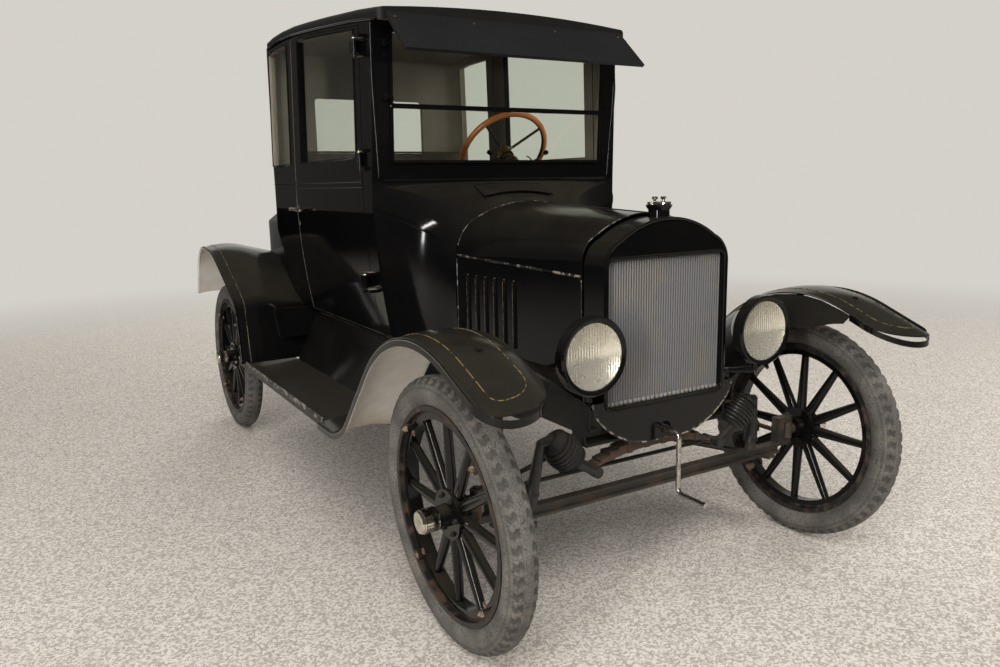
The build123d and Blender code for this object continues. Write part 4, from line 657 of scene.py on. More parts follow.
def shell_arch(inset):
    """The arch as (x, z) from the right side over the crown to the left."""
    half, top = SHELL_HALF - inset, SHELL_TOP - inset
    corner, bend = (half * CORNER[0], top - CORNER[1]), (half * BEND[0], top - BEND[1])
    crown = arc(corner, (0, top), (-corner[0], corner[1]), 24)[:12]
    left = arc((half, top - SIDE), bend, corner, 8)[:-1] + crown
    right = [(-x, z) for x, z in left]
    return [(-half, SHELL_FOOT)] + right + [(0.0, top)] + left[::-1] + [(half, SHELL_FOOT)]


bead = Shape()
bead.tube(at_y(shell_arch(0.0045), SHELL_Y - 0.001), 0.0045, 8, REARWARD)
opening = rounded_loop((-0.2335, 0.6105), (0.2335, 1.0595), 0.024)
bead.tube(at_y(opening, SHELL_Y - 0.0005), 0.0055, 10, REARWARD, closed=True)
bead.make("shell_beads", lamp_enamel)
skirt = [APRON_FOOT] + arc(*APRON_BEND, 14)
skirt += [(-x, z) for x, z in reversed(skirt[:-1])]
edge = Shape()
edge.tube(at_y(skirt, SHELL_Y + 0.0015), 0.0034, 8, REARWARD)
edge.make("apron_edge", worn_edge)

stand = Matrix.Translation(CAP_PLACE)
cap, disc = Shape(), Shape()
cap.lathe(CAP_NECK, stand, 36)
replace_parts(cap.make("cap_neck", lamp_enamel), "radiator_cap")
rows = []
for r, h, flute in CAP_DISC:
    rows.append([stand @ polar(r * (1 + flute * math.cos(CAP_FLUTES * a)), a, h) for a in turns(120)])
disc.grid(rows, ring=True, caps=True)
for side in (-1, 1):
    disc.lathe(CAP_KNOB, stand @ Matrix.Translation((side * 0.017, 0, 0.027)), 16)
disc.make("cap_disc", nickel, "nickel")
print("shell beads, apron edge and cap")

# %% [markdown]
# ## Headlamps
# A fluted glass sits in a black rim over a silvered bowl. The upright flutes are real
# ridges in one domed sheet. The bowl is shallow because the drum behind it is solid, so a
# bump carries its deep curve.

# %% Bowl, fluted glass and rims
LAMP_X, LAMP_Y, LAMP_Z = 0.337, -1.408, 0.804
LENS_R, FLUTE = 0.0955, 0.0092
LAMP_RIM = [(0.1125, -0.022), (0.1135, -0.004), (0.1125, 0.008), (0.108, 0.0125), (0.1015, 0.0125),
            (0.0962, 0.0085), (0.0955, 0.002)]


def silver():
    paint = Paint("silvered_bowl", Metallic=0.78)
    cloud = paint.noise(24, 5).step(0.4, 0.8)
    colour = paint.mix((0.93, 0.90, 0.82), (0.62, 0.52, 0.38), cloud * 0.45)
    across = paint.sum("ABSOLUTE", paint.axis(paint.point, 0)) - LAMP_X
    high = paint.axis(paint.point, 2) - LAMP_Z
    ripple = paint.sum("SINE", across * (2 * math.pi / FLUTE))
    depth = (across * across + high * high) * 5.0 + ripple * 0.0009
    return paint.finish(colour, cloud * 0.12 + 0.24, depth, 1.0, 1.0)


def dish(side, radii, count, depth):
    """Rings round a lamp's axis; depth tells how far forward each point lies."""
    rows = []
    for r in radii:
        ring = [(r * math.cos(a), r * math.sin(a)) for a in turns(count)]
        rows.append([(side * LAMP_X + x, LAMP_Y - depth((r / LENS_R) ** 2, x), LAMP_Z + z) for x, z in ring])
    return rows


def bowl_depth(share, x):
    return 0.0078 - 0.0020 * share


def glass_depth(share, x):
    return 0.0138 - 0.0050 * share + 0.0008 * math.cos(2 * math.pi * x / FLUTE)


bowls, glasses, rims = Shape(), Shape(), Shape()
for side in (-1, 1):
    bowls.grid(dish(side, steps(0.0005, LENS_R - 0.001, 18), 64, bowl_depth), ring=True)
    glasses.grid(dish(side, steps(0.0005, LENS_R, 30), 120, glass_depth), ring=True)
    rims.lathe(LAMP_RIM, facing((side * LAMP_X, LAMP_Y, LAMP_Z), FORWARD), 72)
bowls.make("lamp_bowls", silver(), "nickel")
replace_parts(glasses.make("lamp_glasses", lens_glass, "lens_glass", sharp=80), "lamp_lenses")
rims.make("lamp_rims", lamp_enamel)
print("lamps at", LAMP_X, LAMP_Y, LAMP_Z)

# %% [markdown]
# ## Tyres
# The crown is worn nearly smooth between V-shaped lugs on both shoulders, with a raised
# ring where the wall begins and fine ribs down the wall. Every point of the section is sunk
# by the pattern's depth there, so the tyre never grows past its real size.

# %% Tyres with their tread
TYRE_HALF, TREAD_HALF, SHOULDER_R, BEAD_HALF, RIM_R = 0.043, 0.030, 0.378, 0.029, 0.296
LUGS, LUG_DEPTH, PER_LUG = 60, 0.0042, 10
PATTERN_R, RIB_R, RIB_PITCH, RING_R, RING_HALF, TREAD_R = 0.31, 0.356, 0.0052, 0.3665, 0.0024, 0.371
CAMBER = math.radians(2.5)

wall = arc((BEAD_HALF, 0.308), (TYRE_HALF, 0.343), (TREAD_HALF, SHOULDER_R), 16)
crown = arc((TREAD_HALF, SHOULDER_R), (0, TYRE_R), (-TREAD_HALF, SHOULDER_R), 22)
section = [(BEAD_HALF - 0.001, RIM_R + 0.001)] + wall[:-1] + crown
section += [(-x, r) for x, r in reversed(wall[:-1])] + [(0.001 - BEAD_HALF, RIM_R + 0.001)]


def sunk(x, r, turn):
    """How far the tread's pattern lies below the plain tyre, at one point."""
    across = abs(x) / TREAD_HALF
    if r < RIB_R:
        return 0.0007 * (0.5 + 0.5 * math.cos(r * 2 * math.pi / RIB_PITCH))
    if r < TREAD_R:
        return 0.0 if abs(r - RING_R) < RING_HALF else 0.0022
    place = turn * LUGS / (2 * math.pi)
    place += 0.55 * abs(((across * 1.6) % 1.0) - 0.5)
    ridge = abs(place - math.floor(place) - 0.5) * 2
    lug = 1 - min(1, max(0, (ridge - 0.42) / 0.16))
    shoulder = min(1, max(0, (across - 0.38) / 0.12))
    return LUG_DEPTH * shoulder * (1 - lug) + 0.0005 * (1 - shoulder)


def tyre(name):
    """Replaces one tyre, and gives the frame of its wheel."""
    low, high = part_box("tyre_" + name)
    centre = (Vector(low) + Vector(high)) / 2
    side = 1 if centre.x > 0 else -1
    tilt = CAMBER if "front" in name else 0
    axle = Vector((side * math.cos(tilt), 0, -math.sin(tilt)))
    upright = axle.cross(Vector(REARWARD))
    columns = Matrix([[upright[i], REARWARD[i], axle[i]] for i in range(3)])
    spin = Matrix.Translation(centre) @ columns.to_4x4()
    rows, groove_shade_depths = [], []
    for turn in turns(LUGS * PER_LUG):
        row = []
        for x, r in section:
            patterned = r > PATTERN_R
            depth = sunk(x, r, turn) if patterned else 0.0
            row.append(spin @ polar(r - depth, turn, x))
            # Each point keeps a shade value from how deep it is sunk, for the painted shade in the grooves.
            groove_shade_depths.append(depth / 0.004 if patterned else 0.3)
        rows.append(row)
    shape = Shape()
    shape.grid(rows, ring=True, loop=True)
    piece = shape.make("tread_" + name, old_rubber, "tyre_rubber", "wheel_" + name, 50)
    painted_groove_shade = piece.data.attributes.new("painted_groove_shade", "FLOAT", "POINT")
    painted_groove_shade.data.foreach_set("value", groove_shade_depths)
    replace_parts(piece, "tyre_" + name)
    return spin


WHEELS = {name: tyre(name) for name in CORNERS}
print("tyres", len(WHEELS), "faces each", LUGS * PER_LUG * len(section))

# %% [markdown]
# ## Wheel fittings
# Six bolts hold the spokes between the hub flanges, four lugs clamp the rim, and a nickel
# cap covers the bearing.

# %% Hub caps, flange bolts and rim nuts
HUB_CAP = [(0.0338, 0.057), (0.0345, 0.060), (0.0338, 0.063), (0.0336, 0.094), (0.0345, 0.097),
           (0.0338, 0.101), (0.030, 0.1076), (0.022, 0.1095), (0.012, 0.1103), (0.0005, 0.1105)]
WASHER = [(0.0075, 0.0), (0.0095, 0.0015), (0.0095, 0.0)]
BOLTS, NUTS = (6, 0.055, 0.021, math.pi / 6), (4, 0.2805, 0.035, math.pi / 4)
WASHER_CIRCLE, WASHER_HEIGHT = 0.262, 0.0192


def round_hub(spin, count, radius, height, first):
    """Places evenly spaced round a wheel's axis."""
    return [spin @ Matrix.Translation(polar(radius, first + a, height)) for a in turns(count)]


def nut(shape, place, radius, height):
    """A six-sided nut with a rounded stud end."""
    sides = ((radius, 0), (radius, height * 0.8), (radius * 0.86, height), (radius * 0.3, height))
    stud = [(radius * 0.42, height * 0.5), (radius * 0.42, height * 1.5), (radius * 0.3, height * 1.7)]
    shape.grid([[place @ polar(r, a, h) for a in turns(6)] for r, h in sides], ring=True, caps=True)
    shape.lathe(stud, place, 10)


for name, spin in WHEELS.items():
    caps, bolts, nuts = Shape(), Shape(), Shape()
    caps.lathe(HUB_CAP, spin, 40)
    for place in round_hub(spin, *BOLTS):
        nut(bolts, place, 0.0085, 0.007)
    count, _, _, first = NUTS
    washers = round_hub(spin, count, WASHER_CIRCLE, WASHER_HEIGHT, first)
    for place, washer in zip(round_hub(spin, *NUTS), washers):
        nut(nuts, place, 0.0088, 0.008)
        nuts.lathe(WASHER, washer, 12)
    caps.make("hub_cap_" + name, nickel, "nickel", "wheel_" + name)
    bolts.make("flange_bolts_" + name, black_iron, "worn_iron", "wheel_" + name)
    nuts.make("rim_nuts_" + name, tan_nuts, "rusty_spring", "wheel_" + name)
print("wheel fittings on", len(WHEELS))

# %% [markdown]
# ## Fender lines
# A thin raised bead, once gilt, runs round each fender about 45 mm inside its edge, and
# each of its points is dropped onto the sheet. A small plate closes the gap between the
# rear fender and the apron.

# %% Bead lines, bolts and closing plates
NOSE, OUTER, INNER, LINE_INSET, LINE_R = -1.686, 0.835, 0.619, 0.046, 0.0014
NOSE_OUTER_R, NOSE_INNER_R, LEAST_R = 0.077, 0.134, 0.012
BOLT_X, BOLT_PLACES = 0.722, (-1.455, -0.98, -0.76)
BOLT_SEAT = [(0.010, -0.001), (0.010, 0.0010), (0.009, 0.0014)]
DROP_FROM, REAR_LINE_X, CREST_Y, FALL_Z = 1.3, 0.789, (1.555, 0.80), (0.86, 0.475)
PLATE_X, PLATE_Y, PLATE_Z = (0.435, 0.624), (0.6292, 0.6302, 0.6312), (0.575, 0.712)


def nose_line(inset, back):
    """The fender's plan outline from its outer side round the nose to the inner side."""
    x0, x1, y0 = INNER + inset, OUTER - inset, NOSE + inset
    r1, r0 = max(LEAST_R, NOSE_OUTER_R - inset), max(LEAST_R, NOSE_INNER_R - inset)
    points = [(x1, y) for y in steps(back, y0 + r1, 34)]
    for t in steps(0, math.pi / 2, 10):
        points.append((x1 - r1 + r1 * math.cos(t), y0 + r1 - r1 * math.sin(t)))
    for t in steps(0, math.pi / 2, 12):
        points.append((x0 + r0 - r0 * math.sin(t), y0 + r0 - r0 * math.cos(t)))
    return points + [(x0, y) for y in steps(y0 + r0, back, 34)]


gilt, bolts = Shape(), Shape()
for side, word in SIDES[::-1]:
    above_fender = [(side * x, y, DROP_FROM) for x, y in nose_line(LINE_INSET, -0.72)]
    gilt.tube(trace("front_fenders", above_fender, DOWN, 0.0002), LINE_R, 6, UP)
    for y in BOLT_PLACES:
        seat = facing(*touch("front_fenders", (side * BOLT_X, y, DROP_FROM), DOWN))
        bolts.lathe(BOLT_SEAT, seat, 16)
        bolts.box((-0.0062, -0.0062, 0.001), (0.0062, 0.0062, 0.0048), seat)
    crest = [(side * REAR_LINE_X, y, DROP_FROM) for y in steps(*CREST_Y, 40)]
    fall = [(side * REAR_LINE_X, 0.3, z) for z in steps(*FALL_Z, 20)]
    line = trace("rear_fenders", crest, DOWN, 0.0002)
    line += [place for place in trace("rear_fenders", fall, REARWARD, 0.0002) if place.z < line[-1].z - 0.01]
    gilt.tube(line, LINE_R, 6, (side, 0, 0.2))
    closing, (x0, x1) = Shape(), sorted(side * x for x in PLATE_X)
    (y0, middle, y1), (low, top) = PLATE_Y, PLATE_Z
    closing.box((x0, y0, low), (x1, y1, top))
    closing.tube([(side * x, middle, top) for x in PLATE_X], 0.0032, 8)
    closing.make("closing_plate_" + word, lamp_enamel)
gilt.make("fender_gilt_line", gilt_and_highlight_line)
bolts.make("fender_bolts", lamp_enamel)
print("gilt line points", len(line))

# %% [markdown]
# ## Running boards
# The shallow pattern of raised bricks is a bump in the finish, and the worn rolled edge is
# a real strip.

# %% Running board edges
BOARD_X, BOARD_Z, BOARD_Y = 0.812, 0.4630, (-0.478, 0.768)
BOARD_EDGE = [(-0.014, -0.0005), (-0.014, 0.0014), (0.0, 0.0022), (0.0018, 0.0005), (0.0018, -0.018),
              (-0.0004, -0.018), (-0.0004, -0.0005)]

edging = Shape()
for side in (-1, 1):
    edging.sweep([(side * BOARD_X, y, BOARD_Z) for y in BOARD_Y], BOARD_EDGE[::side], (side, 0, 0))
edging.make("running_board_edges", worn_edge, "bare_steel")
print("running boards edged")

# %% [markdown]
# ## Hood fittings
# The hinge knuckles and the ends of the leaves are worn bright, each louver's edge carries a thin
# gold line that is a painted highlight, and two spring catches at the foot of each side hold the hood shut.

# %% Hinge knuckles, louver edges, catches and worn ends
HOOD_FRONT, HOOD_REAR = (0.248, -1.236, 1.002, 1.182), (0.309, -0.560, 1.027, 1.212)
HINGE_Y, HINGE_SINK, KNUCKLE_GAP = (-1.232, -0.566), 0.0015, 0.002
LOUVERS, LOUVER_Y, LOUVER_PITCH, LOUVER_R = 6, -0.635, 0.054, 0.0085
LOUVER = [(-1.57, 0.742), (-0.8, 0.742), (0, 0.742), (0, 0.80), (0, 0.88), (0, 0.955), (0.8, 0.955),
          (1.57, 0.955)]
CATCH_Y, CATCH_OUT = (-1.17, -0.64), 0.030
HOOK = [(0.030, 0.706), (0.034, 0.722), (0.026, 0.742), (0.008, 0.752), (0.004, 0.746)]
THUMB = [(0.026, 0.742), (0.040, 0.752), (0.048, 0.748)]
CUP = [(0.014, 0.0), (0.014, 0.003), (0.010, 0.005), (0.006, 0.010), (0.0004, 0.011)]
COIL_R, COIL_RISE = 0.0075, 0.0011
HOOD_ENDS = ((-0.5625, "rear"), (-1.2335, "front"))


def hood_at(y):
    """Half width, y, shoulder height and crest height of the hood."""
    share = (y - HOOD_FRONT[1]) / (HOOD_REAR[1] - HOOD_FRONT[1])
    return [a + (b - a) * share for a, b in zip(HOOD_FRONT, HOOD_REAR)]


def hinge(count, missing, radius, side):
    """A row of barrels on a shoulder, or on the centre line where side is 0."""
    shape, places = Shape(), steps(*HINGE_Y, count)
    for i in range(count):
        if i in missing:
            continue
        ends = [hood_at(places[i] + KNUCKLE_GAP), hood_at(places[i + 1] - KNUCKLE_GAP)]
        line = [(side * (x - HINGE_SINK), y, z if side else top - HINGE_SINK) for x, y, z, top in ends]
        shape.tube(line, radius, 8)
    return shape


def spring_catch(shape, side, y):
    """A bent hook with a thumb piece, on a cup and a short coil."""
    x = hood_at(y)[0]
    for bends, radius in ((HOOK, 0.0036), (THUMB, 0.0042)):
        shape.tube([(side * (x + out), y, z) for out, z in bends], radius, 8)
    shape.lathe(CUP, facing((side * (x + CATCH_OUT), y, 0.703), UP), 14)
    coil = []
    for t in steps(0, 7 * math.pi, 56):
        out = x + CATCH_OUT + COIL_R * math.cos(t)
        coil.append((side * out, y + COIL_R * math.sin(t), 0.705 + COIL_RISE * t))
    shape.tube(coil, 0.0013, 6)


for side, word in SIDES:
    louver_highlights, catch = Shape(), Shape()
    knuckles = hinge(15, (3, 7, 11), 0.0046, side)
    knuckles.make("hood_knuckles_" + word, worn_edge, "bare_steel", "hood_top_" + word)
    for i in range(LOUVERS):
        y = LOUVER_Y - i * LOUVER_PITCH
        x, points = hood_at(y)[0] - 0.001, []
        for t, z in LOUVER:
            points.append((side * (x + LOUVER_R * math.cos(t)), y + 0.0007, z + LOUVER_R * math.sin(t)))
        # A thin gold line on each louver's edge: a painted highlight where the edge catches the light.
        louver_highlights.tube(points, 0.0009, 6)
    louver_highlights.make("louver_edges_" + word, gilt_and_highlight_line, body="hood_side_" + word)
    for y in CATCH_Y:
        spring_catch(catch, side, y)
    catch.make("hood_catches_" + word, bare_steel, "bare_steel")
for side, word in SIDES:
    for part, towards in (("top", DOWN), ("side", (-side, 0, 0))):
        for y, place in HOOD_ENDS:
            width, _, shoulder, _ = hood_at(y)
            if part == "top":
                starts = [(side * x, y, 1.5) for x in steps(0.012, width - 0.006, 20)]
            else:
                starts = [(side, y, z) for z in steps(0.712, shoulder - 0.010, 14)]
            leaf, end = f"hood_{part}_{word}", Shape()
            end.tube(trace(leaf, starts, towards), 0.0017, 6, REARWARD)
            end.make(f"{leaf}_{place}_edge", worn_edge, body=leaf)
hinge(14, (), 0.0030, 0).make("hood_centre_hinge", worn_edge, "bare_steel")
print("hood fittings ready")

# %% [markdown]
# ## Belt line and window frames
# Two thin beads run along the belt, and a small pressed frame edges each window. The
# stretch on a door is traced on the door and rides with it, so the doors can open.

# %% Belt beads
DOOR_Y, BODY_Y, BACK_Y, BELT, COWL_HALF = (-0.284, 0.539), 0.551, 0.80, 1.290, 0.505
BELT_BEADS = ((BELT + 0.004, 0.0042), (BELT - 0.0165, 0.0030))


def round_the_back(z):
    """Where the belt lies on the shell, from the left door round the back to the right one."""
    line = trace("body_shell", [(1.0, y, z) for y in steps(BODY_Y, BACK_Y, 10)], (-1, 0, 0))
    for t in steps(0.05, math.pi - 0.05, 60):
        x, y = math.cos(t), BACK_Y + math.sin(t)
        line.append(touch("body_shell", (x, y, z), (-x, BACK_Y - y, 0))[0])
    line += trace("body_shell", [(-1.0, y, z) for y in steps(BACK_Y, BODY_Y, 10)], (1, 0, 0))
    return [place for place in line if place]


for side, word in SIDES:
    door_bead = Shape()
    for z, r in BELT_BEADS:
        starts = [(side, y, z) for y in steps(*DOOR_Y, 24)]
        door_bead.tube(trace("door_" + word, starts, (-side, 0, 0)), r, 8, UP)
    door_bead.make("belt_bead_door_" + word, body_enamel, body="door_" + word)
body_bead, cowl_bead = Shape(), Shape()
for z, r in BELT_BEADS:
    body_bead.tube(round_the_back(z), r, 8, UP)
    starts = [(x, -0.95, z) for x in steps(-COWL_HALF, COWL_HALF, 40)]
    cowl_bead.tube(trace("body_shell", starts, REARWARD), r, 8, UP)
body_bead.make("belt_bead_body", body_enamel)
cowl_bead.make("belt_bead_cowl", body_enamel)
print("belt beads at", BELT)

# %% Window frames
ROOF_LINE = ((-0.560, 1.852), (-0.400, 1.875), (-0.250, 1.894), (-0.100, 1.909), (0.100, 1.929),
             (0.300, 1.947), (0.500, 1.963), (0.680, 1.970), (0.820, 1.969), (0.920, 1.960), (1.040, 1.936))
SILL, HEAD_DROP, FRAME_OUT, FRAME_R = 1.385, 0.062, 0.0055, 0.0042
DOOR_WINDOW, QUARTER_WINDOW = (-0.225, 0.440), (0.612, 0.900)


def roof_at(y):
    for (a, low), (b, high) in zip(ROOF_LINE, ROOF_LINE[1:]):
        if y <= b:
            return low + (high - low) * (y - a) / (b - a)
    return ROOF_LINE[-1][1]


def window_frame(shape, node, side, ends):
    """A rod on the outer panel, just outside the opening of a side window."""
    y0, y1, sill = ends[0] - FRAME_OUT, ends[1] + FRAME_OUT, SILL - FRAME_OUT
    ring = [(side, y, sill) for y in steps(y0, y1, 6)]
    ring += [(side, y, roof_at(y) - HEAD_DROP + FRAME_OUT) for y in steps(y1, y0, 8)]
    shape.tube(trace(node, ring, (-side, 0, 0)), FRAME_R, 8, (0, 1, 0.3), closed=True)


for side, word in SIDES:
    frame_piece = Shape()
    window_frame(frame_piece, "door_" + word, side, DOOR_WINDOW)
    frame_piece.make("window_frame_" + word, body_enamel, body="door_" + word)
quarters = Shape()
for side in (-1, 1):
    window_frame(quarters, "body_shell", side, QUARTER_WINDOW)
back = rounded_loop((-0.3055, 1.4145), (0.3055, 1.7255), 0.024)
quarters.tube(trace("body_shell", at_y(back, 1.5), FORWARD), FRAME_R, 8, REARWARD, closed=True)
quarters.make("body_window_frames", body_enamel)
print("window frames set")

# %% [markdown]
# ## Windshield
# Two panes, one above the other, sit in black steel frames held by brackets at the posts.
# A rounded bead runs down each front pillar, and a drip bead runs round the roof.

# %% Windshield frames, brackets, pillar and drip beads
PANES, PANE_HALF = ((1.3615, 1.5545), (1.5595, 1.8105)), 0.4685
BOSS = [(0.013, -0.002), (0.013, 0.009), (0.010, 0.013), (0.0005, 0.0145)]
SCREW = [(0.0038, -0.001), (0.0038, 0.001), (0.002, 0.0022), (0.0004, 0.0024)]
STUD = [(0.0065, -0.001), (0.0065, 0.001), (0.0045, 0.0030), (0.0004, 0.0036)]
HINGE_PIN = [(0.0060, -0.004), (0.0092, 0.0), (0.0098, 0.004), (0.0070, 0.0085), (0.0004, 0.0095)]
HINGE_X, HINGE_FRONT, HINGE_Z, BARREL_HALF = 0.560, -0.300, (0.923, 1.372, 1.768), 0.0265
BRACKET_X, BRACKET_Z, SCREW_X, SCREW_Z = 0.486, (1.768, 1.585), 0.492, [1.40 + i * 0.11 for i in range(4)]
PILLAR_Z, PILLAR_R, STUD_X = (1.305, 1.835), 0.0085, (-0.482, -0.175, 0.175, 0.482)
DRIP_X, DRIP_Y, DRIP_DROP, DRIP_R = 0.5412, (-0.466, 0.880), 0.0305, 0.0042
BACK_BEND = (0.5410, 0.876, 0.118, 0.1185)


def screen_y(z):
    return -0.380 - (z - 1.290) * 0.055


screen, brackets, pillars, drip, studs = Shape(), Shape(), Shape(), Shape(), Shape()
for low, high in PANES:
    loop = rounded_loop((-PANE_HALF, low), (PANE_HALF, high), 0.010, 3)
    path = [(x, screen_y(z) - 0.0015, z) for x, z in loop]
    screen.sweep(path, flat_bar(0.0065, -0.004, 0.006), FORWARD, closed=True)
screen.make("windshield_frames", lamp_enamel)
for side in (-1, 1):
    for z in BRACKET_Z:
        y = screen_y(z)
        brackets.lathe(BOSS, facing((side * BRACKET_X, y, z), FORWARD), 18)
        strap = [(side * 0.462, y - 0.008, z), (side * 0.500, y - 0.008, z - 0.006)]
        brackets.sweep(strap, flat_bar(0.006, -0.0018, 0.0018), UP)
    for z in SCREW_Z:
        brackets.lathe(SCREW, facing((side * SCREW_X, screen_y(z), z), FORWARD), 10)
    starts = [(side * 1.5, -1.36, z) for z in steps(*PILLAR_Z, 12)]
    corner = [touch("body_shell", start, (-side, 1, 0))[0] for start in starts]
    pillars.tube([p + Vector((-side * 0.003, 0.003, 0)) for p in corner], PILLAR_R, 12, (side, 0, 0))
    points = [(side * DRIP_X, y, roof_at(y) - DRIP_DROP) for y in steps(*DRIP_Y, 40)]
    drip.tube(points, DRIP_R, 8)
brackets.make("windshield_brackets", lamp_enamel)
pillars.make("pillar_beads", body_enamel)
x, y, inward, rearward = BACK_BEND
quarter = steps(0, math.pi / 2, 10)
bend = [(x - inward * (1 - math.cos(t)), y + rearward * math.sin(t)) for t in quarter]
around = bend + [(-x, y) for x, y in reversed(bend)]
drip.tube([(x, y, roof_at(y) - DRIP_DROP) for x, y in around], DRIP_R, 8)
drip.make("roof_drip_bead", body_enamel, "roof_black")
for x in STUD_X:
    studs.lathe(STUD, facing(*touch("visor", (x, -0.492, 2.2), DOWN)), 12)
studs.make("visor_studs", nickel, "nickel")
for side, word in SIDES:
    pins = Shape()
    for z in HINGE_Z:
        pins.lathe(HINGE_PIN, facing((side * HINGE_X, HINGE_FRONT, z + BARREL_HALF), UP), 16)
    pins.make("hinge_pins_" + word, nickel, "nickel", "door_" + word)
print("windshield and drip bead")

# %% [markdown]
# ## Cowl, doors and the tail lamp
# The cowl has a hinged ventilator, the doors have bent nickel handles on small plates, and
# the tail lamp shows a red lens.

# %% Ventilator, handles, tail lens
TAIL_LAMP = facing((0.300, 1.563, 0.960), REARWARD)
TAIL_LENS = [(0.0335, 0.0), (0.0335, 0.003), (0.028, 0.0085), (0.016, 0.012), (0.0005, 0.0135)]
TAIL_RIM = [(0.0362, -0.004), (0.0368, 0.001), (0.0352, 0.0045), (0.0325, 0.0045), (0.0325, 0.0)]
HANDLE_Z, HANDLE_STEM_Y, VENT_Y, VENT_HALF = 1.181, 0.512, (-0.498, -0.412), 0.150
HANDLE = ((0.529, 1.181), (0.50, 1.181), (0.46, 1.1815), (0.434, 1.180), (0.416, 1.178))
HANDLE_PLATE = [(0.0165, -0.001), (0.0165, 0.002), (0.012, 0.006), (0.009, 0.012)]
KEYHOLE = [(0.009, -0.001), (0.009, 0.0012), (0.007, 0.0022), (0.0025, 0.0022), (0.0022, 0.0004)]

flap, vent, lens = [], Shape(), Shape()
for y in steps(*VENT_Y, 6):
    lift = 0.0016 + 0.010 * max(0, (-0.43 - y) / 0.068)
    flap.append(trace("cowl", [(x, y, 1.6) for x in steps(-VENT_HALF, VENT_HALF, 16)], DOWN, lift))
vent.grid(flap)
vent.grid([[p - Vector((0, 0, 0.004)) for p in row][::-1] for row in flap])
vent.tube(outline(flap), 0.0026, 6, UP, closed=True)
vent.make("cowl_ventilator", hood_enamel)
lens.lathe(TAIL_LENS, TAIL_LAMP)
lens.lathe(TAIL_RIM, TAIL_LAMP)
lens.make("tail_lens", red_glass, "lens_glass")
for side, word in SIDES:
    door, inward, grip = "door_" + word, (-side, 0, 0), Shape()
    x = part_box(door)[1 if side > 0 else 0][0] - side * 0.007
    grip.tube([(x, y, z) for y, z in HANDLE], 0.0076, 12)
    panel, _ = touch(door, (side, HANDLE_STEM_Y, 1.201), inward)
    grip.lathe(HANDLE_PLATE, facing((panel.x, HANDLE_STEM_Y, HANDLE_Z), (side, 0, 0)), 24)
    grip.lathe(KEYHOLE, facing(*touch(door, (side, 0.520, 1.118), inward)), 16)
    grip.make("handle_" + word, nickel, "nickel", door)
print("ventilator, handles and tail lens")

# %% [markdown]
# ## Front spring
# Flat clips hold the leaves together, and a nut closes each perch from below.

# %% Spring clips and perch nuts
CLIP_X, CLIP_HALF, CLIP_THICK, PERCH = (0.035, 0.105, 0.175), 0.0242, 0.0016, (0.455, 0.296)

clips = Shape()
for side in (-1, 1):
    for x in CLIP_X:
        top, _ = touch("leaf_springs", (side * x, -AXLE_Y, 0.9), DOWN)
        low, _ = touch("leaf_springs", (side * x, -AXLE_Y, 0.2), UP)
        if top and low:
            corners = (-AXLE_Y - CLIP_HALF, low.z - CLIP_THICK), (-AXLE_Y + CLIP_HALF, top.z + CLIP_THICK)
            loop = [(side * x, y, z) for y, z in rounded_loop(*corners, 0.004, 3)]
            clips.sweep(loop, flat_bar(0.009, -CLIP_THICK, CLIP_THICK), (1, 0, 0), closed=True)
    nut(clips, facing((side * PERCH[0], -AXLE_Y, PERCH[1]), DOWN), 0.017, 0.014)
clips.make("spring_clips", rusty_iron, "rusty_spring")
print("spring clips set")

# %% [markdown]
# ## Steering column
# Under the wheel sit the brass gear case and the spark and gas levers on their quadrants,
# with small black knobs.

# %% Levers under the wheel
COLUMN_FOOT, CASE_BELOW = Vector((0.234, -1.017, 0.560)), 0.075
GEAR_CASE = [(0.021, -0.045), (0.034, -0.040), (0.039, -0.022), (0.038, 0.0), (0.030, 0.012), (0.020, 0.016)]
LEVER = ((0.018, -0.06), (0.06, -0.058), (0.12, -0.05), (0.155, -0.040))
KNOB = [(0.0045, -0.012), (0.0095, -0.004), (0.0105, 0.004), (0.0075, 0.011), (0.0005, 0.0135)]

hub = Vector(STEERING_HUB)
down = (COLUMN_FOOT - hub).normalized()
post = facing(hub + down * CASE_BELOW, -down)
case, rods, knobs = Shape(), Shape(), Shape()
case.lathe(GEAR_CASE, post, 28)
for turn in (0.5, math.pi - 0.5):
    arm = [post @ polar(r, turn, h) for r, h in LEVER]
    rods.tube(arm, 0.0036, 8)
    rods.tube([post @ polar(0.085, t, -0.066) for t in steps(turn - 0.7, turn + 0.7, 12)], 0.003, 6)
    knobs.lathe(KNOB, facing(post @ polar(0.162, turn, -0.038), arm[-1] - arm[0]), 14)
case.make("gear_case", brass, "nickel")
rods.make("levers", bare_steel, "bare_steel")
knobs.make("lever_knobs", lamp_enamel)
print("gear case and levers")

# %% [markdown]
# ## Seat
# Each cushion is a crowned closed form in grey-brown cloth, sewn in upright channels that
# swell between their seams, with a welt round the edge. The swelling is shaped in the mesh
# and then subdivided, which keeps the seams sharp.

# %% Cushion and back
SEAT_HALF, CHANNELS, SEAT_ROWS, CHANNEL_COLUMNS = 0.424, 10, 14, 6
SEAT_TOP, BOX_HALF, BOX_FRONT, BOX_BACK = 0.870, 0.428, 0.112, 0.558


